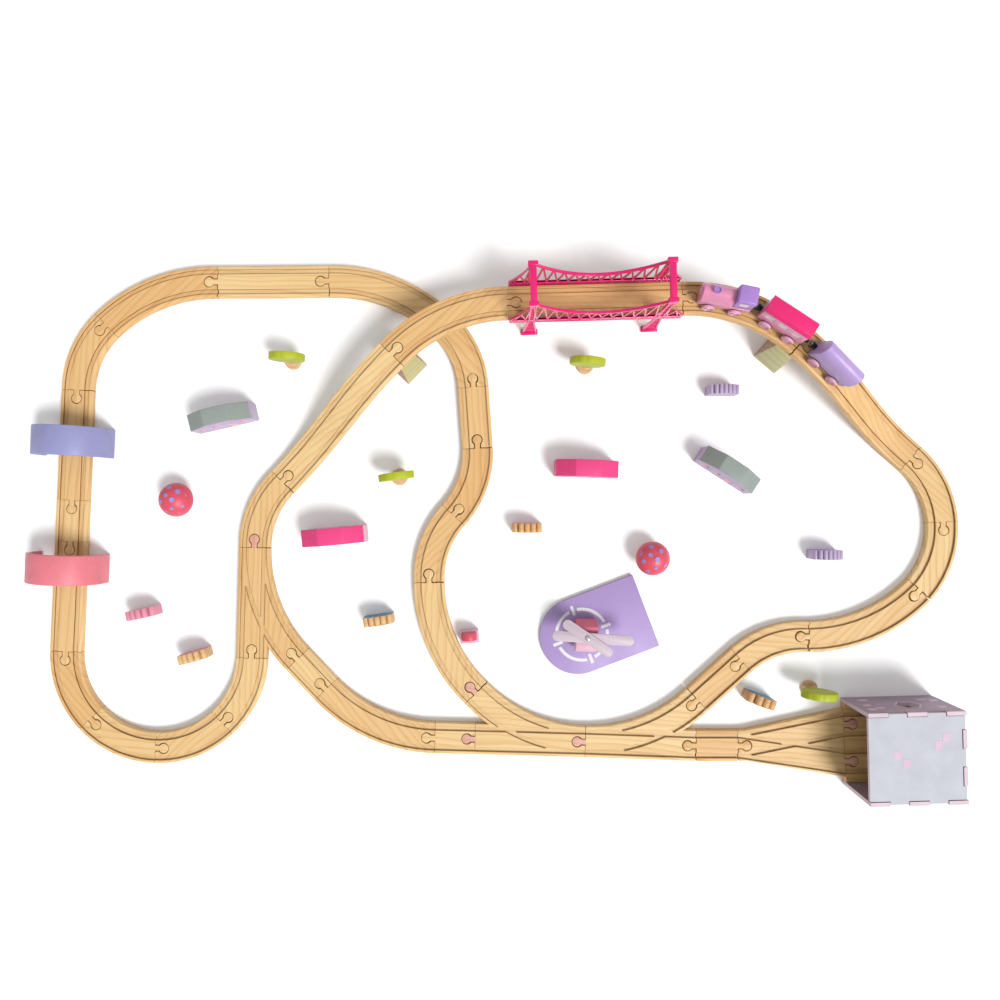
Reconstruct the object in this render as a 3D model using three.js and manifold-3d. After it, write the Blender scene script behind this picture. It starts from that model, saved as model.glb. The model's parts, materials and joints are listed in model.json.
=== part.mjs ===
// A wooden train set: a figure of plug-together wooden track with three turnouts, two ramps
// that carry a loop over a lattice bridge, a three-piece train, a shed, a helicopter on its
// pad, two arches and small wooden scenery. Millimetres and degrees, +Z up, floor at z = 0.
import * as THREE from "three";
import { mergeVertices } from "three/addons/utils/BufferGeometryUtils.js";
import Module from "manifold-3d";

const wasm = await Module();
wasm.setup();

// Track section and peg joints
const trackWidth = 40;
const trackThickness = 12;
const grooveGauge = 26;
const grooveWidth = 6;
const grooveDepth = 3;
const pegHeadRadius = 6;
const pegNeckWidth = 6.5;
const pegReach = 11.5;
const jointClearance = 0.35;
const largestKink = 3.5;
const socketMargin = 0.27;
const overcut = 1;

// Track lengths and bends
const smallRadius = 121.5;
const largeRadius = 204;
const curveAngle = 45;
const shortLength = 54;
const middleLength = 80;
const longLength = 144;
const deckLength = 216;
const yardLength = 139;
const yardSpacing = 49;
const splitterNeck = 10;
const rampLength = 216;
const rampRise = 62;
const rampBlendRadius = 190;
const facetLength = 21;

// Risers, bridge and arches
const riserTopLength = 26;
const riserBaseLength = 36;
const riserMargin = 1;
const riserSpread = 8;
const riserShift = 8;
const bridgeClearance = 1;
const bridgeEndInset = 2;
const bridgeBar = 3.5;
const chordBar = 3.4;
const postBar = 3.3;
const latticeBar = 2.8;
const latticeBays = 12;
const railHeight = 14;
const towerSpacing = 158;
const towerHeight = 98;
const towerLength = 8;
const portalCap = 2;
const chordSag = 52;
const legTies = 3;
const footLength = 20;
const footWidth = 8;
const archWidth = 96;
const archHeight = 62;
const archLeg = 18;
const archDepth = 38;
const archWall = 7;
const archPlaces = { arch_pink: 110, arch_lavender: 274 };

// Train
const wheelRadius = 8;
const wheelWidth = 3.4;
const wheelBase = 33;
const axleRadius = 2;
const axleClearance = 0.4;
const wheelLift = 0.3;
const wheelSidePlay = 1.8;
const wheelTopPlay = 2.2;
const chassisBelowAxle = 2.8;
const bodyWidth = 22;
const locoLength = 64;
const boilerHeight = 38;
const boilerSide = 9;
const cabHeight = 48;
const cabLength = 24;
const cabSeat = 4;
const funnelSetback = 16;
const funnelHeight = 6;
const funnelRadius = 3;
const funnelRim = 4.5;
const coachLength = 62;
const coachHeight = 47;
const coachRoof = 6;
const roofOverhang = 0.5;
const roofChamfer = 3;
const wagonLength = 60;
const wagonHeight = 44;
const wagonSide = 14;
const couplerLength = 7;
const couplerRadius = 5;
const couplerHeight = 10.5;
const locoTravel = 48;
const vehicleGap = 1.5;

// Shed, pad and helicopter
const shedLength = 120;
const shedWidth = 114;
const shedHeight = 83;
const shedPly = 5;
const shedFingers = 5;
const windowRadius = 15;
const windowSetback = 66;
const windowHeight = 48;
const padWidth = 100;
const padSquareReach = 86;
const padRoundShift = 10;
const padThickness = 6;
const heliWidth = 28;
const heliLength = 42;
const heliHeight = 30;
const heliSideHeight = 17;
const noseChamfer = 8;
const tailChamfer = 4;
const heliShoulder = 8;
const hubRadius = 5;
const hubHeight = 4;
const bladeThickness = 2;
const bladeWidth = 13;
const longBlade = 104;
const longBladeShift = 7;
const shortBlade = 74;
const screwRadius = 1.5;
const screwPlay = 0.4;

// Scenery blocks
const houseLength = 80;
const houseDepth = 22;
const houseWall = 36;
const houseHeight = 54;
const houseRidge = 32;
const crownWidth = 46;
const crownHeight = 42;
const treeDepth = 9;
const treeHeight = 58;
const trunkRadius = 4;
const treeBaseRadius = 11;
const treeBaseHeight = 5;
const capRadius = 22;
const capBase = 22;
const stemRadius = 10;
const stemFootRadius = 12;
const stemFootHeight = 6;
const gap = 0.3;

const radians = THREE.MathUtils.degToRad;

// A joint turned by the largest kink opens widest, and its peg's head shifts in the socket.
const widestGap = jointClearance + (trackWidth / 2) * Math.tan(radians(largestKink));
const headShift = pegReach * Math.sin(radians(largestKink));
const socketPlay = socketMargin + Math.hypot(headShift, (widestGap - jointClearance) / 2);
const socketReach = pegReach - (jointClearance + widestGap) / 2;

// ---- Solids -----------------------------------------------------------------------------

function solidOf(geometry) {
  const plain = geometry.index ? geometry.toNonIndexed() : geometry.clone();
  plain.deleteAttribute("normal");
  plain.deleteAttribute("uv");
  const merged = mergeVertices(plain, 1e-4);
  const mesh = new wasm.Mesh({
    numProp: 3,
    vertProperties: merged.attributes.position.array,
    triVerts: new Uint32Array(merged.index.array),
  });
  return new wasm.Manifold(mesh);
}

function geometryOf(solid) {
  const mesh = solid.getMesh();
  const count = mesh.vertProperties.length / mesh.numProp;
  const positions = new Float32Array(3 * count);
  for (let i = 0; i < count; i++) {
    positions.set(mesh.vertProperties.subarray(i * mesh.numProp, i * mesh.numProp + 3), 3 * i);
  }
  const geometry = new THREE.BufferGeometry();
  geometry.setAttribute("position", new THREE.BufferAttribute(positions, 3));
  geometry.setIndex(new THREE.BufferAttribute(mesh.triVerts, 1));
  const faceted = geometry.toNonIndexed();
  faceted.computeVertexNormals();
  return faceted;
}

function joined(solids) {
  return solids.reduce((sum, solid) => sum.add(solid));
}

function cutFrom(solid, cutters) {
  return cutters.reduce((rest, cutter) => rest.subtract(cutter), solid);
}

// A flat outline raised from z0 by height.
function prism(points, z0, height) {
  const geometry = new THREE.ExtrudeGeometry(new THREE.Shape(points), {
    depth: height,
    bevelEnabled: false,
  });
  return solidOf(geometry.translate(0, 0, z0));
}

// An outline drawn in x and z, drawn out along y from y0 to y1.
function crosswise(points, y0, y1) {
  const geometry = new THREE.ExtrudeGeometry(new THREE.Shape(points), {
    depth: y1 - y0,
    bevelEnabled: false,
  });
  return solidOf(geometry.rotateX(Math.PI / 2).translate(0, y1, 0));
}

// An outline drawn in y and z, drawn out along x from x0 to x1.
function lengthwise(points, x0, x1) {
  const geometry = new THREE.ExtrudeGeometry(new THREE.Shape(points), {
    depth: x1 - x0,
    bevelEnabled: false,
  });
  return solidOf(geometry.rotateX(Math.PI / 2).rotateZ(Math.PI / 2).translate(x0, 0, 0));
}

function box(x0, x1, y0, y1, z0, z1) {
  const geometry = new THREE.BoxGeometry(x1 - x0, y1 - y0, z1 - z0);
  return solidOf(geometry.translate((x0 + x1) / 2, (y0 + y1) / 2, (z0 + z1) / 2));
}

function cylinder(radius, z0, z1, sides = 16, topRadius = radius) {
  const geometry = new THREE.CylinderGeometry(topRadius, radius, z1 - z0, sides);
  return solidOf(geometry.rotateX(Math.PI / 2).translate(0, 0, (z0 + z1) / 2));
}

// A straight square bar between two points.
function bar(from, to, thickness) {
  const start = new THREE.Vector3(...from);
  const span = new THREE.Vector3(...to).sub(start);
  const geometry = new THREE.BoxGeometry(span.length(), thickness, thickness);
  geometry.translate(span.length() / 2, 0, 0);
  const alongX = new THREE.Vector3(1, 0, 0);
  geometry.applyQuaternion(new THREE.Quaternion().setFromUnitVectors(alongX, span.normalize()));
  return solidOf(geometry.translate(start.x, start.y, start.z));
}

const point = (x, y) => new THREE.Vector2(x, y);

function arcPoints(cx, cy, radius, from, to, steps) {
  const points = [];
  for (let i = 0; i <= steps; i++) {
    const angle = from + ((to - from) * i) / steps;
    points.push(point(cx + radius * Math.cos(angle), cy + radius * Math.sin(angle)));
  }
  return points;
}

// ---- Walking along track ------------------------------------------------------------------

// A pose is a place in plan, a height and a heading. These moves return the pose they lead to.
function forward(pose, length) {
  return {
    ...pose,
    x: pose.x + length * Math.cos(pose.heading),
    y: pose.y + length * Math.sin(pose.heading),
  };
}

function sideways(pose, offset) {
  return {
    ...pose,
    x: pose.x - offset * Math.sin(pose.heading),
    y: pose.y + offset * Math.cos(pose.heading),
  };
}

function turned(pose, angle) {
  return { ...pose, heading: pose.heading + angle };
}

// Around a bend: a positive angle turns left.
function around(pose, radius, angle) {
  const side = Math.sign(angle) * radius;
  return sideways(turned(sideways(pose, side), angle), -side);
}

const origin = { x: 0, y: 0, z: 0, heading: 0 };
const straight = (length) => ({ length });
const bend = (radius, side) => ({ radius, angle: side * radians(curveAngle) });
const small = (side) => bend(smallRadius, side);
const large = (side) => bend(largeRadius, side);
const LEFT = 1;
const RIGHT = -1;

function along(pose, stretch) {
  return stretch.radius ? around(pose, stretch.radius, stretch.angle) : forward(pose, stretch.length);
}

// Poses along a run of stretches, close enough together to draw its bends.
function stations(run) {
  const poses = [origin];
  let start = origin;
  for (const stretch of run) {
    if (stretch.radius) {
      const steps = Math.ceil((stretch.radius * Math.abs(stretch.angle)) / facetLength);
      for (let i = 1; i < steps; i++) {
        poses.push(around(start, stretch.radius, (stretch.angle * i) / steps));
      }
    }
    start = along(start, stretch);
    poses.push(start);
  }
  return poses;
}

// ---- Track pieces -------------------------------------------------------------------------

// A peg or a socket, drawn across an end face from its right to its left. u runs outwards.
function connector(kind) {
  const half = trackWidth / 2;
  const play = kind === "socket" ? socketPlay : 0;
  const neck = pegNeckWidth / 2 + play;
  const radius = pegHeadRadius + play;
  const opening = Math.asin(neck / radius);
  const points = [point(0, -half)];
  if (kind === "peg") {
    points.push(point(0, -neck));
    points.push(...arcPoints(pegReach, 0, radius, opening - Math.PI, Math.PI - opening, 8));
    points.push(point(0, neck));
  }
  if (kind === "socket") {
    points.push(point(0, -neck));
    points.push(...arcPoints(-socketReach, 0, radius, -opening, opening - 2 * Math.PI, 8));
    points.push(point(0, neck));
  }
  points.push(point(0, half));
  return points;
}

function placedAt(points, pose) {
  return points.map((p) => {
    const there = sideways(forward(pose, p.x), p.y);
    return point(there.x, there.y);
  });
}

function strip(run, offset, width, overrun) {
  const poses = stations(run);
  poses.unshift(forward(poses[0], -overrun));
  poses.push(forward(poses[poses.length - 1], overrun));
  const side = (pose, shift) => {
    const there = sideways(pose, offset + shift);
    return point(there.x, there.y);
  };
  const right = poses.map((pose) => side(pose, -width / 2));
  const left = poses.map((pose) => side(pose, width / 2)).reverse();
  return [...right, ...left];
}

// The plank of a run, with its end faces, before its grooves are cut.
function plank(run, startKind, endKind) {
  const poses = stations(run);
  const inner = poses.slice(1, -1);
  const edge = (pose, side) => {
    const there = sideways(pose, (side * trackWidth) / 2);
    return point(there.x, there.y);
  };
  const start = turned(poses[0], Math.PI);
  const end = poses[poses.length - 1];
  const outline = [
    ...inner.map((pose) => edge(pose, RIGHT)),
    ...placedAt(connector(endKind), end),
    ...inner.map((pose) => edge(pose, LEFT)).reverse(),
    ...placedAt(connector(startKind), start),
  ];
  return prism(outline, 0, trackThickness);
}

function groove(outline) {
  return prism(outline, trackThickness - grooveDepth, grooveDepth + overcut);
}

function grooves(run) {
  return [LEFT, RIGHT].map((side) =>
    groove(strip(run, (side * grooveGauge) / 2, grooveWidth, overcut)),
  );
}

function trackPiece(run, startKind, endKind) {
  return cutFrom(plank(run, startKind, endKind), grooves(run));
}

// A turnout: a straight leg and a large bend that leave one common end.
function turnout(side, commonKind, legKind) {
  const runs = [[straight(longLength)], [large(side)]];
  const planks = runs.map((run) => plank(run, commonKind, legKind));
  return cutFrom(joined(planks), runs.flatMap(grooves));
}

// The slope between a ramp's two level-to-slope arcs, found by halving.
function rampAngle() {
  const halvings = 60;
  let low = 0;
  let high = Math.atan2(2 * rampRise, rampLength);
  for (let i = 0; i < halvings; i++) {
    const middle = (low + high) / 2;
    const level = rampLength - 2 * rampBlendRadius * Math.sin(middle);
    const rise = 2 * rampBlendRadius * (1 - Math.cos(middle)) + level * Math.tan(middle);
    if (rise < rampRise) low = middle;
    else high = middle;
  }
  return low;
}

// Points of the ramp's surface in x and z, lowered squarely to it by a depth.
function rampLine(depth) {
  const angle = rampAngle();
  const steps = Math.ceil((rampBlendRadius * angle) / facetLength);
  const bottom = arcPoints(
    0,
    rampBlendRadius,
    rampBlendRadius + depth,
    -Math.PI / 2,
    -Math.PI / 2 + angle,
    steps,
  );
  const top = arcPoints(
    rampLength,
    rampRise - rampBlendRadius,
    rampBlendRadius - depth,
    Math.PI / 2 + angle,
    Math.PI / 2,
    steps,
  );
  return [...bottom, ...top].map((p) => point(p.x, p.y + trackThickness));
}

function rampCut(depth, y0, y1) {
  const floor = rampLine(depth);
  const roof = rampRise + 2 * trackThickness;
  const outline = [
    point(-overcut, floor[0].y),
    ...floor,
    point(rampLength + overcut, floor[floor.length - 1].y),
    point(rampLength + overcut, roof),
    point(-overcut, roof),
  ];
  return crosswise(outline, y0, y1);
}

// The hole of a socket in an end face, cut from above a level and from below it.
function socketHole(end, level) {
  const mouth = pegNeckWidth / 2 + socketPlay;
  const outline = [
    point(overcut, -mouth),
    point(overcut, mouth),
    ...connector("socket").slice(2, -2).reverse(),
  ];
  return prism(placedAt(outline, end), level - trackThickness, 3 * trackThickness);
}

// A ramp that climbs along +x, with a peg at one end and a socket at the other.
function ramp(pegAtTop) {
  const half = trackWidth / 2;
  const outline = [...rampLine(trackThickness), ...rampLine(0).reverse()];
  const slab = crosswise(outline, -half, half);
  const bottomEnd = { ...origin, heading: Math.PI };
  const topEnd = forward({ ...origin, z: rampRise }, rampLength);
  const pegEnd = pegAtTop ? topEnd : bottomEnd;
  const socketEnd = pegAtTop ? bottomEnd : topEnd;
  const neck = pegNeckWidth / 2;
  const pegOutline = [point(-overcut, -neck), ...connector("peg").slice(2, -2), point(-overcut, neck)];
  const peg = prism(placedAt(pegOutline, pegEnd), pegEnd.z, trackThickness);
  const hole = socketHole(socketEnd, socketEnd.z);
  const cuts = [LEFT, RIGHT].map((side) => {
    const middle = (side * grooveGauge) / 2;
    return rampCut(grooveDepth, middle - grooveWidth / 2, middle + grooveWidth / 2);
  });
  return cutFrom(slab.add(peg), [...cuts, hole]);
}

// The yard splitter: two straight roads that leave one socket and end in two pegs.
function yardSplitter() {
  const halfEnd = yardSpacing / 2 + trackWidth / 2;
  const farEnd = forward(origin, yardLength);
  const roadEnds = [RIGHT, LEFT].map((side) => sideways(farEnd, (side * yardSpacing) / 2));
  const outline = [
    point(yardLength, -halfEnd),
    ...roadEnds.flatMap((end) => placedAt(connector("peg").slice(1, -1), end)),
    point(yardLength, halfEnd),
    point(splitterNeck, trackWidth / 2),
    ...placedAt(connector("socket"), backwards(origin)),
    point(splitterNeck, -trackWidth / 2),
  ];
  const cuts = roadEnds.flatMap((end) => {
    const run = [straight(Math.hypot(end.x, end.y))];
    const road = { ...origin, heading: Math.atan2(end.y, end.x) };
    return [LEFT, RIGHT].map((rail) =>
      groove(placedAt(strip(run, (rail * grooveGauge) / 2, grooveWidth, grooveWidth), road)),
    );
  });
  return cutFrom(prism(outline, 0, trackThickness), cuts);
}

// ---- The layout ---------------------------------------------------------------------------

// Each chain is a list of pieces in order. A kink is the small turn, in degrees, that the play
// of the pegs gives the joint before a piece. Positive kinks turn left.
const piece = (name, kink, ...run) => ({ name, kink, run });

const innerChain = [
  piece("track_south_diagonal", 0, straight(shortLength), large(LEFT)),
  piece("track_south_short", 0, straight(shortLength)),
];

const outerChain = [
  piece("track_uturn_first", -0.5, small(RIGHT), small(RIGHT)),
  piece("track_uturn_second", 0, small(RIGHT), small(RIGHT)),
  piece("track_west_straight", -0.5, straight(longLength), straight(shortLength), straight(longLength)),
  piece("track_northwest_curve", 1, small(RIGHT), large(RIGHT)),
  piece("track_north_straight", 2, straight(longLength)),
  piece("track_under_bridge_curve", 1.5, large(RIGHT)),
  piece("track_middle_curve", 2, small(RIGHT), straight(middleLength)),
  piece("track_middle_bends", -1.5, small(RIGHT), small(LEFT)),
  piece("track_middle_sweep", -2, large(LEFT)),
];

const raisedChain = [
  piece("track_west_curve", 1, small(RIGHT)),
  piece("ramp_west", 1.5, straight(rampLength)),
  piece("raised_curve_west", 0.5, large(RIGHT)),
  piece("bridge_deck", 0, straight(deckLength)),
  piece("raised_curve_east", 1, large(RIGHT)),
  piece("ramp_east", 2, straight(rampLength)),
  piece("track_east_bend", -0.5, small(RIGHT), small(RIGHT)),
  piece("track_southeast_sweep", -largestKink, large(RIGHT)),
  piece("track_southeast_bend", -largestKink, small(LEFT), straight(middleLength)),
];

const layoutHeading = radians(-91.5);
const yardKinks = [2, 1.5];
const throughKink = -0.5;

// Past a joint: half its gap, its kink, then the other half. The gap clears the end faces.
function pastJoint(pose, kink) {
  const half = (jointClearance + (trackWidth / 2) * Math.tan(Math.abs(kink))) / 2;
  return forward(turned(forward(pose, half), kink), half);
}

function layChain(start, chain) {
  let pose = start;
  const laid = chain.map((entry) => {
    const from = pastJoint(pose, radians(entry.kink));
    pose = entry.run.reduce(along, from);
    return { ...entry, from, to: pose };
  });
  return { laid, end: pose };
}

const named = (laid, name) => laid.find((entry) => entry.name === name);
const backwards = (pose) => turned(pose, Math.PI);

// The heading of the straight stretch of a laid piece.
function straightHeading(entry) {
  let pose = entry.from;
  for (const stretch of entry.run) {
    if (stretch.length) return pose.heading;
    pose = along(pose, stretch);
  }
  return pose.heading;
}

// How much two straights with the headings a and b must grow to make up a miss.
function makeUp(miss, a, b) {
  const scale = Math.sin(b - a);
  return [
    (miss.x * Math.sin(b) - miss.y * Math.cos(b)) / scale,
    (miss.y * Math.cos(a) - miss.x * Math.sin(a)) / scale,
  ];
}

function lengthened(chain, name, growth) {
  const grown = (stretch) => (stretch.length ? straight(stretch.length + growth) : stretch);
  return chain.map((entry) => (entry.name === name ? { ...entry, run: entry.run.map(grown) } : entry));
}

// The place of the end of a chain, one joint on, whose last kink makes the headings agree.
function endReach(end, target) {
  const difference = target.heading - end.heading;
  const kink = Math.atan2(Math.sin(difference), Math.cos(difference));
  return pastJoint(end, kink);
}

const westCommon = { ...origin, heading: layoutHeading };
const westStraightEnd = along(westCommon, straight(longLength));
const westCurveEnd = along(westCommon, large(LEFT));

function middleTurnouts(innerEnd) {
  const straightEnd = pastJoint(innerEnd, 0);
  const common = along(straightEnd, straight(longLength));
  const curveEnd = backwards(along(backwards(common), large(RIGHT)));
  const yardCommon = pastJoint(common, radians(throughKink));
  const yardCurveEnd = backwards(along(yardCommon, large(LEFT)));
  return { common, curveEnd, yardCommon, yardCurveEnd };
}

const difference = (to, from) => ({ x: to.x - from.x, y: to.y - from.y });

// The raised and inner chains close first, on two straights, and then the outer chain does.
function layOut() {
  const draftInner = layChain(westCurveEnd, innerChain);
  const draftRaised = layChain(backwards(westCommon), raisedChain);
  const target = middleTurnouts(draftInner.end).yardCurveEnd;
  const [southGrowth, southeastGrowth] = makeUp(
    difference(target, endReach(draftRaised.end, target)),
    straightHeading(named(draftInner.laid, "track_south_short")) + Math.PI,
    straightHeading(named(draftRaised.laid, "track_southeast_bend")),
  );
  const inner = layChain(westCurveEnd, lengthened(innerChain, "track_south_short", southGrowth));
  const raised = layChain(
    backwards(westCommon),
    lengthened(raisedChain, "track_southeast_bend", southeastGrowth),
  );
  const turnouts = middleTurnouts(inner.end);

  const draftOuter = layChain(westStraightEnd, outerChain);
  const [northGrowth, middleGrowth] = makeUp(
    difference(turnouts.curveEnd, endReach(draftOuter.end, turnouts.curveEnd)),
    straightHeading(named(draftOuter.laid, "track_north_straight")),
    straightHeading(named(draftOuter.laid, "track_middle_curve")),
  );
  const longerNorth = lengthened(outerChain, "track_north_straight", northGrowth);
  const outer = layChain(westStraightEnd, lengthened(longerNorth, "track_middle_curve", middleGrowth));
  return { inner: inner.laid, outer: outer.laid, raised: raised.laid, turnouts };
}

const layout = layOut();
const joint = (name) => {
  const all = [...layout.inner, ...layout.outer, ...layout.raised];
  return named(all, name);
};

// ---- Materials ----------------------------------------------------------------------------

const paint = (color, roughness = 0.5) => new THREE.MeshStandardMaterial({ color, roughness, metalness: 0 });
const finishes = {
  beech: paint(0xe3bd83, 0.6),
  pinkPeg: paint(0xe9a8b0, 0.55),
  riser: paint(0xd8cf86, 0.6),
  bridgePink: paint(0xf5259a, 0.35),
  pink: paint(0xf58a9d),
  hotPink: paint(0xf21c77),
  coral: paint(0xf0475f),
  lavender: paint(0xb08fe0),
  palePlum: paint(0xa9a5dc),
  wheelPink: paint(0xf7b6da, 0.4),
  pad: paint(0xc6a6ea),
  ply: paint(0xc9c2d8, 0.6),
  grey: paint(0x9da3a0),
  housePink: paint(0xf2569c),
  leaf: paint(0xb6dd1e),
  bladeWood: paint(0xdccbb4, 0.6),
};

const group = new THREE.Group();
group.name = "wooden_train_set";

function addMesh(name, solid, material, pose = origin) {
  const mesh = new THREE.Mesh(geometryOf(solid), material);
  mesh.name = name;
  mesh.position.set(pose.x, pose.y, pose.z);
  mesh.rotation.z = pose.heading;
  group.add(mesh);
  return mesh;
}

// ---- Laying the track ----------------------------------------------------------------------

const isRaised = new Set(["raised_curve_west", "bridge_deck", "raised_curve_east"]);

function addChain(laid, startKind, endKind) {
  for (const entry of laid) {
    if (entry.name.startsWith("ramp")) continue;
    const pose = isRaised.has(entry.name) ? { ...entry.from, z: rampRise } : entry.from;
    addMesh(entry.name, trackPiece(entry.run, startKind, endKind), finishes.beech, pose);
  }
}

addChain(layout.inner, "peg", "socket");
addChain(layout.outer, "peg", "socket");
addChain(layout.raised, "socket", "peg");

const rampWest = joint("ramp_west");
const rampEast = joint("ramp_east");
addMesh("ramp_west", ramp(true), finishes.beech, rampWest.from);
addMesh("ramp_east", ramp(false), finishes.beech, backwards(rampEast.to));

const { turnouts } = layout;
addMesh("turnout_west", turnout(LEFT, "peg", "socket"), finishes.beech, westCommon);
addMesh("turnout_middle", turnout(RIGHT, "socket", "peg"), finishes.beech, backwards(turnouts.common));
addMesh("turnout_yard", turnout(LEFT, "peg", "socket"), finishes.beech, turnouts.yardCommon);

const yardJoin = pastJoint(along(turnouts.yardCommon, straight(longLength)), radians(yardKinks[0]));
const yardJoinEnd = along(yardJoin, straight(shortLength));
const yardStart = pastJoint(yardJoinEnd, radians(yardKinks[1]));
addMesh("track_yard_short", trackPiece([straight(shortLength)], "peg", "peg"), finishes.beech, yardJoin);
addMesh("yard_splitter", yardSplitter(), finishes.beech, yardStart);

// ---- Risers under the ends of the raised track ---------------------------------------------

// A square frustum whose ends slope as its sides do.
function riser() {
  const height = rampRise - gap;
  const geometry = new THREE.CylinderGeometry(Math.SQRT1_2, Math.SQRT1_2, height, 4);
  geometry.rotateY(Math.PI / 4).rotateX(Math.PI / 2).translate(0, 0, height / 2);
  const position = geometry.attributes.position;
  const topWidth = trackWidth + 2 * riserMargin;
  for (let i = 0; i < position.count; i++) {
    const isTop = position.getZ(i) > height / 2;
    position.setX(i, position.getX(i) * (isTop ? riserTopLength : riserBaseLength));
    position.setY(i, position.getY(i) * (isTop ? topWidth : topWidth + 2 * riserSpread));
  }
  return solidOf(geometry);
}

addMesh("riser_west", riser(), finishes.riser, forward(rampWest.to, riserShift));
addMesh("riser_east", riser(), finishes.riser, forward(rampEast.from, -riserShift));

// ---- Lattice bridge -------------------------------------------------------------------------

const bridgeInnerWidth = trackWidth + 2 * bridgeClearance;
const bridgeReach = deckLength / 2 - bridgeEndInset;
const railLow = rampRise + trackThickness / 2;
const railTop = railLow + railHeight;
const towerTop = rampRise + towerHeight;

// The top chord of a side: it sags between the towers and slopes down to the rail outside them.
function chordHeight(x) {
  const half = towerSpacing / 2;
  const away = Math.abs(x);
  if (away <= half) return towerTop - chordSag * (1 - (away / half) ** 2);
  return towerTop - ((towerTop - railTop) * (away - half)) / (bridgeReach - half);
}

function bridgeSide(side) {
  const y = side * (bridgeInnerWidth / 2 + bridgeBar / 2);
  const [y0, y1] = [y - bridgeBar / 2, y + bridgeBar / 2];
  const bars = [box(-bridgeReach, bridgeReach, y0, y1, railLow, railTop)];
  const node = (i) => {
    const x = bridgeReach * ((2 * i) / latticeBays - 1);
    return [x, y, Math.max(railTop - overcut, chordHeight(x))];
  };
  for (let i = 0; i < latticeBays; i++) {
    const [near, far] = [node(i), node(i + 1)];
    bars.push(bar(near, far, chordBar));
    bars.push(bar([(near[0] + far[0]) / 2, y, railTop - overcut], i % 2 ? near : far, latticeBar));
  }
  for (const end of [-1, 1]) {
    const x = (end * towerSpacing) / 2;
    bars.push(box(x - towerLength / 2, x + towerLength / 2, y0, y1, railLow, towerTop));
    bars.push(...bridgeLeg(x, y));
  }
  return joined(bars);
}

// A leg of two posts that spread to a foot on the floor, with ties between them.
function bridgeLeg(x, y) {
  const topHalf = (towerLength - bridgeBar) / 2;
  const footHalf = (footLength - bridgeBar) / 2;
  const deckTop = rampRise + trackThickness;
  const posts = [-1, 1].map((post) =>
    bar([x + post * topHalf, y, deckTop], [x + post * footHalf, y, bridgeBar / 2], postBar),
  );
  const [footStart, footEnd] = [x - footLength / 2, x + footLength / 2];
  const foot = box(footStart, footEnd, y - footWidth / 2, y + footWidth / 2, 0, bridgeBar);
  const ties = [];
  for (let i = 1; i <= legTies; i++) {
    const z = (rampRise * i) / (legTies + 1);
    const half = topHalf + (footHalf - topHalf) * (1 - z / deckTop);
    ties.push(bar([x - half, y, z], [x + half, y, z], latticeBar));
  }
  return [...posts, foot, ...ties];
}

function bridgeFrame() {
  const half = bridgeInnerWidth / 2 + bridgeBar;
  const portals = [-1, 1].map((end) => {
    const x = (end * towerSpacing) / 2;
    const [x0, x1] = [x - towerLength / 2, x + towerLength / 2];
    return box(x0, x1, -half, half, towerTop - bridgeBar, towerTop + portalCap);
  });
  return joined([bridgeSide(LEFT), bridgeSide(RIGHT), ...portals]);
}

const deck = joint("bridge_deck");
addMesh("bridge_frame", bridgeFrame(), finishes.bridgePink, forward(deck.from, deckLength / 2));

// ---- Arches over the west straight ----------------------------------------------------------

// Two straight legs under a half-ellipse.
function archOutline(width, height, foot) {
  const half = width / 2;
  const steps = 12;
  const points = [point(-half, foot), point(half, foot)];
  for (let i = 0; i <= steps; i++) {
    const angle = (Math.PI * i) / steps;
    points.push(point(half * Math.cos(angle), archLeg + (height - archLeg) * Math.sin(angle)));
  }
  return points;
}

function arch() {
  const outer = lengthwise(archOutline(archWidth, archHeight, 0), -archDepth / 2, archDepth / 2);
  const hollow = archOutline(archWidth - 2 * archWall, archHeight - archWall, -overcut);
  return outer.subtract(lengthwise(hollow, -archDepth, archDepth));
}

const westStraight = joint("track_west_straight");
for (const [name, distance] of Object.entries(archPlaces)) {
  const finish = name === "arch_pink" ? finishes.coral : finishes.palePlum;
  addMesh(name, arch(), finish, forward(westStraight.from, distance));
}

// ---- Train ------------------------------------------------------------------------------------

// Vehicles are drawn with their nose along +x, the middle of their wheels at x = 0 and the top
// of the track at z = 0.
const axleHeight = wheelRadius + wheelLift - grooveDepth;
const bodyUnderside = axleHeight + wheelRadius + wheelTopPlay;
const chassisWidth = grooveGauge - wheelWidth - 2 * wheelSidePlay;
const axlePlaces = { front: wheelBase / 2, rear: -wheelBase / 2 };

function axleBore(x) {
  const bore = cylinder(axleRadius + axleClearance, -bodyWidth, bodyWidth, 12);
  return bore.rotate([90, 0, 0]).translate([x, 0, axleHeight]);
}

function chassis(length, coupledEnds) {
  const half = chassisWidth / 2;
  const low = axleHeight - chassisBelowAxle;
  const block = box(-length / 2, length / 2, -half, half, low, bodyUnderside + overcut);
  const ends = coupledEnds.map((end) => {
    const stub = cylinder(couplerRadius, 0, couplerLength + overcut, 12);
    const start = end * (length / 2 - overcut);
    return stub.rotate([0, end * 90, 0]).translate([start, 0, couplerHeight]);
  });
  return joined([block, ...ends]);
}

// A body with a rounded back, drawn across the vehicle.
function roundedSection(width, height, shoulder) {
  const half = width / 2;
  const steps = 8;
  const points = [point(-half, bodyUnderside), point(half, bodyUnderside)];
  for (let i = 0; i <= steps; i++) {
    const angle = (Math.PI * i) / steps;
    points.push(point(half * Math.cos(angle), shoulder + (height - shoulder) * Math.sin(angle)));
  }
  return points;
}

function bored(body) {
  return cutFrom(body, Object.values(axlePlaces).map(axleBore));
}

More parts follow.
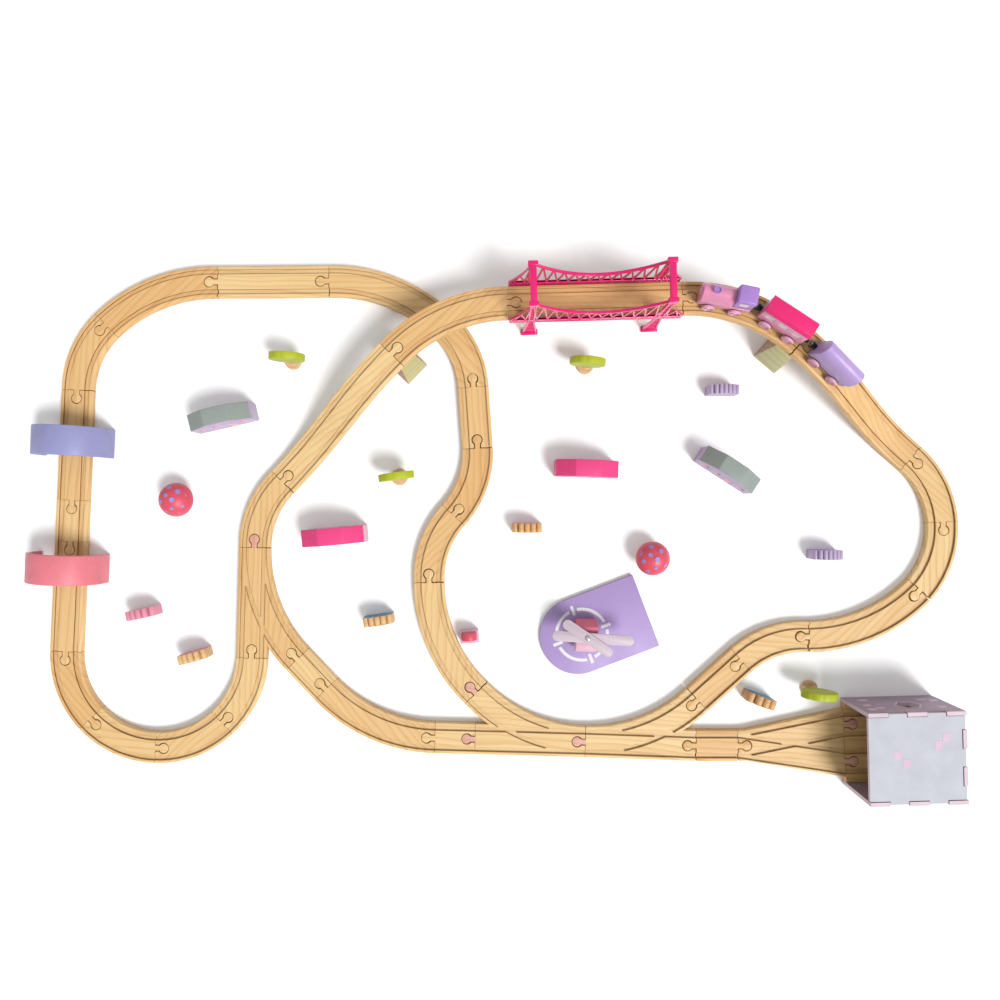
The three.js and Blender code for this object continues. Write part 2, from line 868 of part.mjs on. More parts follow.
function locoBody() {
  const nose = locoLength / 2;
  const cabFront = cabLength - nose;
  const half = bodyWidth / 2;
  const section = roundedSection(bodyWidth, boilerHeight, bodyUnderside + boilerSide);
  const boiler = lengthwise(section, cabFront, nose);
  const seat = box(-nose, cabFront, -half, half, bodyUnderside, bodyUnderside + cabSeat);
  const funnelTop = boilerHeight + funnelHeight;
  const funnel = cylinder(funnelRadius, boilerHeight - overcut, funnelTop, 10, funnelRim);
  const stack = funnel.translate([nose - funnelSetback, 0, 0]);
  return bored(joined([chassis(locoLength, [-1]), boiler, seat, stack]));
}

function locoCab() {
  const back = -locoLength / 2;
  const half = bodyWidth / 2;
  const low = bodyUnderside + cabSeat + gap;
  return box(back, back + cabLength - gap, -half, half, low, cabHeight);
}

function coachBody() {
  const half = coachLength / 2;
  const side = bodyWidth / 2;
  const body = box(-half, half, -side, side, bodyUnderside, coachHeight - coachRoof - gap);
  return bored(chassis(coachLength, [-1, 1]).add(body));
}

function coachRoofPiece() {
  const half = coachLength / 2 + roofOverhang;
  const side = bodyWidth / 2 + roofOverhang;
  const low = coachHeight - coachRoof;
  const outline = [
    point(-side, low),
    point(side, low),
    point(side - roofChamfer, coachHeight),
    point(roofChamfer - side, coachHeight),
  ];
  return lengthwise(outline, -half, half);
}

function wagonBody() {
  const outline = roundedSection(bodyWidth, wagonHeight, bodyUnderside + wagonSide);
  return bored(chassis(wagonLength, [-1, 1]).add(lengthwise(outline, -wagonLength / 2, wagonLength / 2)));
}

// An axle with a wheel at each end, turned as one piece about the vehicle's width.
function wheelset() {
  const inner = grooveGauge / 2 - wheelWidth / 2;
  const outer = grooveGauge / 2 + wheelWidth / 2;
  const profile = [
    point(0, -outer),
    point(wheelRadius, -outer),
    point(wheelRadius, -inner),
    point(axleRadius, -inner),
    point(axleRadius, inner),
    point(wheelRadius, inner),
    point(wheelRadius, outer),
    point(0, outer),
  ];
  return solidOf(new THREE.LatheGeometry(profile, 14));
}

// Vehicles on the raised curve stand on a chord of it, so their middle lies a little inside.
const curveEast = joint("raised_curve_east");
const curveCentre = sideways(curveEast.from, -largeRadius);
const chordRadius = Math.sqrt(largeRadius ** 2 - (wheelBase / 2) ** 2);
const chordDrop = Math.sqrt(rampBlendRadius ** 2 - (wheelBase / 2) ** 2);
const couplerGap = 2 * couplerLength + vehicleGap;
const coachTravel = locoTravel + locoLength / 2 + couplerGap + coachLength / 2;
const wagonTravel = coachTravel + coachLength / 2 + couplerGap + wagonLength / 2;

function curveFrame(travel) {
  const angle = travel / largeRadius;
  const onCurve = { ...curveCentre, heading: curveEast.from.heading - angle };
  const place = sideways(onCurve, chordRadius);
  const frame = new THREE.Group();
  frame.position.set(place.x, place.y, rampRise + trackThickness);
  frame.rotation.z = place.heading + Math.PI;
  return frame;
}

// The wagon stands on the arc at the top of the east ramp and leans back with it.
function rampFrame(travel) {
  const jointGap = jointClearance + (trackWidth / 2) * Math.tan(radians(rampEast.kink));
  const past = travel - largeRadius * radians(curveAngle) - jointGap;
  const lean = past / rampBlendRadius;
  const place = forward(rampEast.from, chordDrop * Math.sin(lean));
  const frame = new THREE.Group();
  const centreHeight = rampRise + trackThickness - rampBlendRadius;
  frame.position.set(place.x, place.y, centreHeight + chordDrop * Math.cos(lean));
  frame.rotation.set(0, -lean, rampEast.from.heading + Math.PI, "ZYX");
  return frame;
}

function addVehicle(frame, name, parts) {
  group.add(frame);
  for (const [partName, solid, material] of parts) {
    const mesh = new THREE.Mesh(geometryOf(solid), material);
    mesh.name = partName;
    frame.add(mesh);
  }
  for (const [end, x] of Object.entries(axlePlaces)) {
    const mesh = new THREE.Mesh(geometryOf(wheelset()), finishes.wheelPink);
    mesh.name = name + "_wheels_" + end;
    mesh.position.set(x, 0, axleHeight);
    frame.add(mesh);
  }
}

addVehicle(curveFrame(locoTravel), "loco", [
  ["loco_body", locoBody(), finishes.pink],
  ["loco_cab", locoCab(), finishes.lavender],
]);
addVehicle(curveFrame(coachTravel), "coach", [
  ["coach_body", coachBody(), finishes.pink],
  ["coach_roof", coachRoofPiece(), finishes.hotPink],
]);
addVehicle(rampFrame(wagonTravel), "wagon", [["wagon_body", wagonBody(), finishes.lavender]]);

// ---- Shed ---------------------------------------------------------------------------------------

const shedFront = forward(yardStart, yardLength + jointClearance);

// The along-edge span of one finger, counted from the front or the right-hand side.
function finger(length, index) {
  return [(length * index) / shedFingers, (length * (index + 1)) / shedFingers];
}

const wallFingers = [0, 2, 4];
const backFingers = [1, 3];

function shedFloor() {
  const half = shedWidth / 2 - shedPly - gap;
  const slab = box(0, shedLength - shedPly - gap, -half, half, 0, trackThickness);
  const cuts = [];
  for (const road of [LEFT, RIGHT]) {
    const start = sideways(origin, (road * yardSpacing) / 2);
    cuts.push(socketHole(backwards(start), 0));
    for (const rail of [LEFT, RIGHT]) {
      const y = start.y + (rail * grooveGauge) / 2;
      const low = trackThickness - grooveDepth;
      const [y0, y1] = [y - grooveWidth / 2, y + grooveWidth / 2];
      cuts.push(box(-overcut, shedLength, y0, y1, low, trackThickness + overcut));
    }
  }
  return cutFrom(slab, cuts);
}

// A side wall with tabs that come up through the roof and a six-sided window.
function shedWall(side) {
  const outerY = (side * shedWidth) / 2;
  const innerY = outerY - side * shedPly;
  const [y0, y1] = [Math.min(outerY, innerY), Math.max(outerY, innerY)];
  const wall = box(0, shedLength, y0, y1, 0, shedHeight - shedPly - gap);
  const tabs = wallFingers.map((index) => {
    const [x0, x1] = finger(shedLength, index);
    return box(x0, x1, y0, y1, shedHeight / 2, shedHeight);
  });
  const pane = new THREE.CylinderGeometry(windowRadius, windowRadius, 4 * shedPly, 6);
  const opening = solidOf(pane.translate(windowSetback, outerY, windowHeight));
  return joined([wall, ...tabs]).subtract(opening);
}

function shedBack() {
  const half = shedWidth / 2 - shedPly - gap;
  const [x0, x1] = [shedLength - shedPly, shedLength];
  const wall = box(x0, x1, -half, half, 0, shedHeight - shedPly - gap);
  const tabs = backFingers.map((index) => {
    const [a, b] = finger(shedWidth, index);
    return box(x0, x1, a - shedWidth / 2, b - shedWidth / 2, shedHeight / 2, shedHeight);
  });
  return joined([wall, ...tabs]);
}

function shedRoof() {
  const half = shedWidth / 2;
  const slab = box(0, shedLength, -half, half, shedHeight - shedPly, shedHeight);
  const [z0, z1] = [shedHeight - 2 * shedPly, shedHeight + overcut];
  const cuts = [];
  for (const index of wallFingers) {
    const [a, b] = finger(shedLength, index);
    for (const side of [LEFT, RIGHT]) {
      const inner = side * (half - shedPly - gap);
      const outer = side * (half + overcut);
      cuts.push(box(a - gap, b + gap, Math.min(inner, outer), Math.max(inner, outer), z0, z1));
    }
  }
  for (const index of backFingers) {
    const [a, b] = finger(shedWidth, index).map((place) => place - half);
    cuts.push(box(shedLength - shedPly - gap, shedLength + overcut, a - gap, b + gap, z0, z1));
  }
  return cutFrom(slab, cuts);
}

addMesh("shed_floor", shedFloor(), finishes.beech, shedFront);
addMesh("shed_wall_north", shedWall(LEFT), finishes.ply, shedFront);
addMesh("shed_wall_south", shedWall(RIGHT), finishes.ply, shedFront);
addMesh("shed_back", shedBack(), finishes.ply, shedFront);
addMesh("shed_roof", shedRoof(), finishes.ply, shedFront);

// ---- Pad and helicopter -------------------------------------------------------------------------

// Scenery stands at an offset, east and north, from a named joint of the track.
function beside(pose, east, north, heading) {
  return { x: pose.x + east, y: pose.y + north, z: 0, heading: radians(heading) };
}

const padPlace = beside(turnouts.common, 0, 141, 20.8);

// The pad's round end lies along -x and its square end along +x. The origin is the rotor axis.
function padPlate() {
  const half = padWidth / 2;
  const outline = [
    point(padSquareReach, -half),
    point(padSquareReach, half),
    ...arcPoints(-padRoundShift, 0, half, Math.PI / 2, (3 * Math.PI) / 2, 20),
  ];
  return prism(outline, 0, padThickness);
}

const heliLow = padThickness + gap;
const heliTop = heliLow + heliHeight;
const hubTop = heliTop + hubHeight;
const bladeStep = bladeThickness + gap;

// The cabin lies along y with its nose at -y.
function heliBody() {
  const half = heliLength / 2;
  const profile = [
    point(-half, heliLow + noseChamfer),
    point(-half + noseChamfer, heliLow),
    point(half - tailChamfer, heliLow),
    point(half, heliLow + tailChamfer),
    point(half, heliLow + heliSideHeight),
    point(half - heliShoulder, heliTop),
    point(-half + heliShoulder, heliTop),
    point(-half, heliLow + heliSideHeight),
  ];
  const cabin = lengthwise(profile, -heliWidth / 2, heliWidth / 2);
  const hub = cylinder(hubRadius, heliTop - overcut, hubTop, 12);
  const screw = cylinder(screwRadius, heliTop, hubTop + 2 * bladeStep + gap, 10);
  return joined([cabin, hub, screw]);
}

// A flat blade with round ends and a hole for the screw. Level 0 lies on the hub.
function blade(length, level, shift) {
  const half = length / 2 - bladeWidth / 2;
  const outline = [
    ...arcPoints(shift + half, 0, bladeWidth / 2, -Math.PI / 2, Math.PI / 2, 6),
    ...arcPoints(shift - half, 0, bladeWidth / 2, Math.PI / 2, (3 * Math.PI) / 2, 6),
  ];
  const low = hubTop + gap + level * bladeStep;
  const hole = cylinder(screwRadius + screwPlay, low - overcut, low + bladeThickness + overcut, 10);
  return prism(outline, low, bladeThickness).subtract(hole);
}

addMesh("pad_plate", padPlate(), finishes.pad, padPlace);
const onPad = (heading) => ({ ...padPlace, heading: radians(heading) });
addMesh("heli_body", heliBody(), finishes.coral, onPad(-2));
addMesh("rotor_blade_long", blade(longBlade, 0, longBladeShift), finishes.bladeWood, onPad(-4));
addMesh("rotor_blade_short", blade(shortBlade, 1, 0), finishes.bladeWood, onPad(-34));

// ---- Scenery blocks -----------------------------------------------------------------------------

// A house is a flat block with a roof of three slopes.
function house() {
  const half = houseLength / 2;
  const outline = [
    point(-half, 0),
    point(half, 0),
    point(half, houseWall),
    point(houseRidge / 2, houseHeight),
    point(-houseRidge / 2, houseHeight),
    point(-half, houseWall),
  ];
  return crosswise(outline, -houseDepth / 2, houseDepth / 2);
}

// A tree is a flat crown on a round trunk and base.
function tree() {
  const sides = 16;
  const middle = treeHeight - crownHeight / 2;
  const crown = [];
  for (let i = 0; i < sides; i++) {
    const angle = (2 * Math.PI * i) / sides;
    const rise = (crownHeight / 2) * Math.sin(angle);
    crown.push(point((crownWidth / 2) * Math.cos(angle), middle + rise));
  }
  return joined([
    crosswise(crown, -treeDepth / 2, treeDepth / 2),
    cylinder(trunkRadius, 0, middle, 10),
    cylinder(treeBaseRadius, 0, treeBaseHeight, 14),
  ]);
}

// A toadstool is a turned stem under a half-round cap.
function toadstool() {
  const steps = 4;
  const profile = [
    point(0, 0),
    point(stemFootRadius, 0),
    point(stemRadius, stemFootHeight),
    point(stemRadius, capBase),
  ];
  for (let i = 0; i < steps; i++) {
    const angle = (Math.PI * i) / (2 * steps);
    profile.push(point(capRadius * Math.cos(angle), capBase + capRadius * Math.sin(angle)));
  }
  profile.push(point(0, capBase + capRadius));
  return solidOf(new THREE.LatheGeometry(profile, 16).rotateX(Math.PI / 2));
}

const westCurve = joint("track_west_curve");
const middleBends = joint("track_middle_bends");
const houses = {
  house_grey_west: [beside(westCurve.to, -74, 83, 13), finishes.grey],
  house_grey_east: [beside(curveEast.to, -78, -157, -33), finishes.grey],
  house_pink_west: [beside(westCurve.to, 71, -70, 5), finishes.housePink],
  house_pink_east: [beside(middleBends.from, 141, -27, -2), finishes.housePink],
};
for (const [name, [pose, finish]] of Object.entries(houses)) addMesh(name, house(), finish, pose);

const trees = {
  tree_northwest: beside(rampWest.to, -138, 3, -3),
  tree_north: beside(deck.from, 103, -67, -4),
  tree_middle: beside(middleBends.from, -103, -37, 8),
  tree_south: beside(yardStart, 96, 73, -4),
};
for (const [name, pose] of Object.entries(trees)) addMesh(name, tree(), finishes.leaf, pose);

const toadstools = {
  toadstool_west: beside(westCommon, -97, 63, 0),
  toadstool_east: beside(turnouts.common, 86, 241, 0),
};
for (const [name, pose] of Object.entries(toadstools)) addMesh(name, toadstool(), finishes.coral, pose);

// The set stands on the floor, centred on its plan.
const extent = new THREE.Box3().setFromObject(group, true);
const centre = extent.getCenter(new THREE.Vector3());
group.position.set(-centre.x, -centre.y, -extent.min.z);

export default group;
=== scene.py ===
"""A plug-together wooden train set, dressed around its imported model.

Lengths are millimetres in the set's own plan. A finished piece is put in the row frame in metres.
Vehicles are drawn with their nose along +x and the top of the track at z = 0.
"""

import json
import logging
import math
import random
from dataclasses import dataclass, field, replace
from enum import Enum
from typing import Callable, Iterable, Optional, Sequence

import bmesh
import bpy
from mathutils import Matrix, Vector


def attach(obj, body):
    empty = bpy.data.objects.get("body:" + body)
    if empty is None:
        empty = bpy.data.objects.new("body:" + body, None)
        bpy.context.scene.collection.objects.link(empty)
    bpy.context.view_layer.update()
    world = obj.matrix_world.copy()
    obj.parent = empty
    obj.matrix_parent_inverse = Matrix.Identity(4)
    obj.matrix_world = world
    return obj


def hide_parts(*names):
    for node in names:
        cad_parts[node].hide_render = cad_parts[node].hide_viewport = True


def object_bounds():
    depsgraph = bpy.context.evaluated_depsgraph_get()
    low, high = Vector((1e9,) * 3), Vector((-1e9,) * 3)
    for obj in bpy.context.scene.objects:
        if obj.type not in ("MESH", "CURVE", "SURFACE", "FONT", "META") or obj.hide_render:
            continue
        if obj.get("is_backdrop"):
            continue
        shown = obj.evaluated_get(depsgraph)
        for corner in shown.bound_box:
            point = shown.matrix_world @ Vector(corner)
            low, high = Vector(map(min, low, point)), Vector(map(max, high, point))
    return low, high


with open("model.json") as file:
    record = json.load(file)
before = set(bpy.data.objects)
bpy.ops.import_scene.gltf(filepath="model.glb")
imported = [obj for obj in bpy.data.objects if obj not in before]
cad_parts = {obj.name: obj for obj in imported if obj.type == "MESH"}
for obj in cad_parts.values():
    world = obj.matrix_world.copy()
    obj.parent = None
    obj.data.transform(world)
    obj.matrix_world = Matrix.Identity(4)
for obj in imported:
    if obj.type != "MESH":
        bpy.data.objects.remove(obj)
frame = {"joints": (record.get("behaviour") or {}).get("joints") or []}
cad_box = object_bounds()

LOG = logging.getLogger("train_set")
METRE = 0.001
QUARTER = math.pi / 2
Point = tuple[float, float]
Test = Callable[[bmesh.types.BMFace], bool]


# ---- Places ---------------------------------------------------------------------------------


@dataclass(frozen=True)
class Pose:
    """A place in plan, a height and a heading, in millimetres and radians."""

    x: float = 0.0
    y: float = 0.0
    z: float = 0.0
    heading: float = 0.0

    def forward(self, length: float) -> "Pose":
        """The pose a length further on."""
        return replace(
            self,
            x=self.x + length * math.cos(self.heading),
            y=self.y + length * math.sin(self.heading),
        )

    def sideways(self, offset: float) -> "Pose":
        """The pose an offset to the left."""
        return replace(
            self,
            x=self.x - offset * math.sin(self.heading),
            y=self.y + offset * math.cos(self.heading),
        )

    def turned(self, angle: float) -> "Pose":
        """The pose turned left by an angle."""
        return replace(self, heading=self.heading + angle)

    def backwards(self) -> "Pose":
        """The pose turned about."""
        return self.turned(math.pi)

    def around(self, radius: float, angle: float) -> "Pose":
        """The pose at the end of a bend, left for a positive angle."""
        side = math.copysign(radius, angle)
        return self.sideways(side).turned(angle).sideways(-side)

    def raised(self, height: float) -> "Pose":
        """The pose at a height."""
        return replace(self, z=height)

    def matrix(self) -> Matrix:
        """The pose as a matrix, in millimetres."""
        return Matrix.Translation((self.x, self.y, self.z)) @ Matrix.Rotation(self.heading, 4, "Z")


class Side(Enum):
    """The hand a piece bends to."""

    LEFT = 1
    RIGHT = -1


class End(Enum):
    """What an end of a track piece carries."""

    PEG = "peg"
    SOCKET = "socket"
    PINK_PEG = "pink peg"


class Face(Enum):
    """The plane an outline is drawn in."""

    PLAN = "xy"
    SIDE = "xz"
    FRONT = "yz"


class Join(Enum):
    """How one workpiece meets another."""

    UNION = "UNION"
    CUT = "DIFFERENCE"


# ---- Workpieces -----------------------------------------------------------------------------


def arc(centre: Point, radius: Point, start: float, end: float, steps: int) -> list[Point]:
    """Points along an arc of an ellipse, ends included.

    Args:
        centre: The middle of the ellipse.
        radius: Its two half axes.
        start: The first angle, in radians.
        end: The last angle, in radians.
        steps: How many steps the arc takes.

    Returns:
        The points in order.
    """
    angles = [start + (end - start) * i / steps for i in range(steps + 1)]
    return [
        (centre[0] + radius[0] * math.cos(a), centre[1] + radius[1] * math.sin(a)) for a in angles
    ]


class Blank:
    """A workpiece: a bmesh in millimetres and the steps that shape it."""

    def __init__(self) -> None:
        """Starts with nothing on the bench."""
        self.bm = bmesh.new()

    @classmethod
    def block(cls, x: Point, y: Point, z: Point) -> "Blank":
        """A block between its limits on each axis."""
        made = cls()
        bmesh.ops.create_cube(made.bm, size=1.0)
        size = [high - low for low, high in (x, y, z)]
        middle = [(high + low) / 2 for low, high in (x, y, z)]
        bmesh.ops.scale(made.bm, vec=size, verts=made.bm.verts)
        bmesh.ops.translate(made.bm, vec=middle, verts=made.bm.verts)
        return made

    @classmethod
    def rod(cls, radius: float, z: Point, sides: int = 48, top: Optional[float] = None) -> "Blank":
        """A round rod along z, tapered to a top radius if one is given."""
        made = cls()
        bmesh.ops.create_cone(
            made.bm,
            cap_ends=True,
            segments=sides,
            radius1=radius,
            radius2=radius if top is None else top,
            depth=z[1] - z[0],
        )
        bmesh.ops.translate(made.bm, vec=(0, 0, (z[0] + z[1]) / 2), verts=made.bm.verts)
        return made

    @classmethod
    def outline(cls, points: Sequence[Point], plane: Face, low: float, high: float) -> "Blank":
        """A flat outline drawn out across its plane.

        Args:
            points: The outline, in order.
            plane: The plane it is drawn in.
            low: Where it starts on the third axis.
            high: Where it ends.

        Returns:
            The closed workpiece.
        """
        made = cls()
        spot = {
            Face.PLAN: lambda a, b: (a, b, low),
            Face.SIDE: lambda a, b: (a, low, b),
            Face.FRONT: lambda a, b: (low, a, b),
        }[plane]
        made.bm.faces.new([made.bm.verts.new(spot(a, b)) for a, b in points])
        step = {Face.PLAN: (0, 0, 1), Face.SIDE: (0, 1, 0), Face.FRONT: (1, 0, 0)}[plane]
        grown = bmesh.ops.extrude_face_region(made.bm, geom=list(made.bm.faces))
        moved = [v for v in grown["geom"] if isinstance(v, bmesh.types.BMVert)]
        bmesh.ops.translate(made.bm, vec=Vector(step) * (high - low), verts=moved)
        return made.outward()

    @classmethod
    def tube(cls, rings: Sequence[Sequence[Vector]]) -> "Blank":
        """A closed skin through rings of equally many spots, with a cap at either end."""
        made = cls()
        skin = [[made.bm.verts.new(spot) for spot in ring] for ring in rings]
        for ring in (skin[0], skin[-1]):
            made.bm.faces.new(ring)
        for near, far in zip(skin, skin[1:]):
            for i in range(len(near)):
                made.bm.faces.new((near[i - 1], near[i], far[i], far[i - 1]))
        return made.outward()

    @classmethod
    def lathe(cls, profile: Sequence[Point], steps: int = 48) -> "Blank":
        """A profile of radii and heights, from axis to axis, turned about z."""
        made = cls()
        verts = [made.bm.verts.new((radius, 0, height)) for radius, height in profile]
        edges = [made.bm.edges.new(pair) for pair in zip(verts, verts[1:])]
        bmesh.ops.spin(
            made.bm,
            geom=verts + edges,
            cent=(0, 0, 0),
            axis=(0, 0, 1),
            dvec=(0, 0, 0),
            angle=2 * math.pi,
            steps=steps,
            use_merge=True,
            use_duplicate=False,
        )
        bmesh.ops.remove_doubles(made.bm, verts=made.bm.verts, dist=1e-4)
        return made.outward()

    def outward(self) -> "Blank":
        """Turns the faces outwards."""
        bmesh.ops.recalc_face_normals(self.bm, faces=self.bm.faces)
        return self

    def eased(
        self,
        width: float,
        segments: int = 2,
        sharper: float = 50,
        where: Optional[Callable[[bmesh.types.BMEdge], bool]] = None,
    ) -> "Blank":
        """Rounds the edges that are sharper than an angle.

        Args:
            width: How far the rounding reaches on each face.
            segments: How many faces it takes.
            sharper: The least angle between two faces, in degrees.
            where: A test that an edge also has to pass.

        Returns:
            The same workpiece.
        """
        self.bm.normal_update()
        least = math.radians(sharper)
        edges = [
            e
            for e in self.bm.edges
            if e.is_manifold and e.calc_face_angle(0) > least and (where is None or where(e))
        ]
        bmesh.ops.bevel(
            self.bm,
            geom=edges,
            offset=width,
            offset_type="OFFSET",
            segments=segments,
            profile=0.5,
            affect="EDGES",
            material=-1,
            clamp_overlap=True,
        )
        return self

    def moved(self, matrix: Matrix) -> "Blank":
        """Places the workpiece by a matrix."""
        bmesh.ops.transform(self.bm, matrix=matrix, verts=self.bm.verts)
        return self

    def shifted(self, x: float = 0, y: float = 0, z: float = 0) -> "Blank":
        """Moves the workpiece."""
        return self.moved(Matrix.Translation((x, y, z)))

    def rotated(self, degrees: float, axis: str) -> "Blank":
        """Turns the workpiece about an axis of its own plan."""
        return self.moved(Matrix.Rotation(math.radians(degrees), 4, axis))

    def copy(self) -> "Blank":
        """Another workpiece of the same shape."""
        made = Blank()
        made.bm = self.bm.copy()
        return made

    def painted(self, index: int, test: Optional[Test] = None) -> "Blank":
        """Gives the faces that pass a test a finish of the piece, by its number."""
        self.bm.normal_update()
        for face in self.bm.faces:
            if test is None or test(face):
                face.material_index = index
        return self

    def beside(self, *others: "Blank") -> "Blank":
        """Adds other workpieces as shells of their own."""
        for other in others:
            spare = bpy.data.meshes.new("spare")
            other.bm.to_mesh(spare)
            self.bm.from_mesh(spare)
            bpy.data.meshes.remove(spare)
        return self

    def _held(self, name: str) -> bpy.types.Object:
        """The workpiece as an object for a boolean."""
        mesh = bpy.data.meshes.new(name)
        self.bm.to_mesh(mesh)
        held = bpy.data.objects.new(name, mesh)
        bpy.context.scene.collection.objects.link(held)
        return held

    def met(self, other: "Blank", how: Join) -> "Blank":
        """Joins another workpiece on, or cuts it out.

        Args:
            other: The workpiece that is added or taken away.
            how: Which of the two it is.

        Returns:
            The same workpiece.
        """
        host, tool = self._held("host"), other._held("tool")
        boolean = host.modifiers.new("meeting", "BOOLEAN")
        boolean.operation = how.value
        boolean.object = tool
        boolean.solver = "MANIFOLD"
        boolean.material_mode = "INDEX"
        graph = bpy.context.evaluated_depsgraph_get()
        result = bpy.data.meshes.new_from_object(host.evaluated_get(graph))
        self.bm.clear()
        self.bm.from_mesh(result)
        for spent in (host, tool):
            mesh = spent.data
            bpy.data.objects.remove(spent)
            bpy.data.meshes.remove(mesh)
        bpy.data.meshes.remove(result)
        return self

    def joined(self, *others: "Blank") -> "Blank":
        """Fuses other workpieces on."""
        for other in others:
            self.met(other, Join.UNION)
        return self

    def cut(self, *others: "Blank") -> "Blank":
        """Cuts other workpieces out."""
        for other in others:
            self.met(other, Join.CUT)
        return self


# ---- Finishes -------------------------------------------------------------------------------

LIGHT_LEVEL = 1.6


def tint(red: int, green: int, blue: int, level: float = LIGHT_LEVEL) -> tuple:
    """The surface colour that looks like an everyday 0 to 255 colour under the studio light."""
    return tuple((c / 255) ** 2.2 / level for c in (red, green, blue)) + (1.0,)


class Wiring:
    """A short way to add and link the nodes of a material or a group."""

    def __init__(self, tree: bpy.types.NodeTree) -> None:
        """Wires in a node tree."""
        self.tree = tree

    def add(self, kind: str, settings: Optional[dict] = None, **inputs: object) -> bpy.types.Node:
        """Adds a node.

        Args:
            kind: The node's type without its ShaderNode prefix.
            settings: Values of the node's own properties.
            inputs: Values or outputs for its sockets, with underscores for spaces.

        Returns:
            The node.
        """
        node = self.tree.nodes.new("ShaderNode" + kind)
        for name, value in (settings or {}).items():
            setattr(node, name, value)
        for name, value in inputs.items():
            key = int(name[1:]) if name[1:].isdigit() else name.replace("_", " ")
            if isinstance(value, bpy.types.NodeSocket):
                self.tree.links.new(value, node.inputs[key])
            else:
                node.inputs[key].default_value = value
        return node

    def maths(self, operation: str, *values: object) -> bpy.types.NodeSocket:
        """A sum of numbers or outputs."""
        node = self.add("Math", {"operation": operation})
        for socket, value in zip(node.inputs, values):
            if isinstance(value, bpy.types.NodeSocket):
                self.tree.links.new(value, socket)
            else:
                socket.default_value = value
        return node.outputs[0]

    def span(self, value: bpy.types.NodeSocket, low: float, high: float) -> bpy.types.NodeSocket:
        """A mask that runs from 0 at one value to 1 at another."""
        return self.add("MapRange", _0=value, _1=low, _2=high).outputs[0]

    def mixed(self, mask: object, a: object, b: object, blend: str = "MIX") -> bpy.types.NodeSocket:
        """A colour between two by a mask."""
        node = self.add("Mix", {"data_type": "RGBA", "blend_type": blend}, _0=mask, _6=a, _7=b)
        return node.outputs[2]


def new_group(name: str, inputs: Sequence[tuple], outputs: Sequence[tuple]) -> tuple:
    """A node group with its sockets, ready to wire.

    Args:
        name: The group's name.
        inputs: Each input's name, kind and first value.
        outputs: Each output's name and kind.

    Returns:
        The group, its wiring, its input node and its output node.
    """
    group = bpy.data.node_groups.new(name, "ShaderNodeTree")
    for label, kind, value in inputs:
        socket = group.interface.new_socket(label, in_out="INPUT", socket_type="NodeSocket" + kind)
        if value is not None:
            socket.default_value = value
    for label, kind in outputs:
        group.interface.new_socket(label, in_out="OUTPUT", socket_type="NodeSocket" + kind)
    wiring = Wiring(group)
    return group, wiring, group.nodes.new("NodeGroupInput"), group.nodes.new("NodeGroupOutput")


def timber_group() -> bpy.types.NodeTree:
    """The grain of a plank that runs along its own x: figure, pores and a fine relief."""
    group, w, given, out = new_group(
        "plank_grain",
        [("Vector", "Vector", None), ("Rings", "Float", 120.0), ("Pores", "Float", 900.0)],
        [("Figure", "Float"), ("Fleck", "Float"), ("Height", "Float")],
    )
    vector = given.outputs["Vector"]
    slow = w.add("Mapping", _0=vector, Scale=(5.0, 22.0, 22.0))
    sway = w.add("TexNoise", Vector=slow.outputs[0], Scale=1.0, Detail=3.0)
    stretched = w.add("Mapping", _0=vector, Scale=(0.05, 1.0, 0.55))
    parts = w.add("SeparateXYZ", _0=stretched.outputs[0])
    depth = w.maths("MULTIPLY_ADD", sway.outputs[0], 0.03, parts.outputs[1])
    depth = w.maths("ADD", depth, parts.outputs[2])
    turns = w.maths("MULTIPLY", w.maths("ADD", depth, parts.outputs[0]), given.outputs["Rings"])
    rings = w.maths("FRACT", turns)
    late = w.span(rings, 0.35, 1.0)
    late = w.maths("POWER", late, 2.2)
    streaks = w.add("Mapping", _0=vector, Scale=(0.035, 1.0, 1.0))
    fibre = w.add("TexNoise", Vector=streaks.outputs[0], Scale=given.outputs["Pores"], Detail=4.0)
    broad = w.add("TexNoise", Vector=streaks.outputs[0], Scale=90.0, Detail=2.0)
    figure = w.maths("MULTIPLY_ADD", late, 0.45, w.maths("MULTIPLY", fibre.outputs[0], 0.45))
    figure = w.maths("MULTIPLY_ADD", broad.outputs[0], 0.5, figure)
    dashes = w.add("Mapping", _0=vector, Scale=(0.16, 1.0, 1.0))
    dots = w.add("TexVoronoi", Vector=dashes.outputs[0], Scale=420.0, Randomness=1.0)
    fleck = w.span(dots.outputs[0], 0.22, 0.05)
    height = w.maths("SUBTRACT", w.maths("MULTIPLY", fibre.outputs[0], 0.6), fleck)
    w.tree.links.new(w.span(figure, 0.3, 1.05), out.inputs["Figure"])
    w.tree.links.new(fleck, out.inputs["Fleck"])
    w.tree.links.new(height, out.inputs["Height"])
    return group


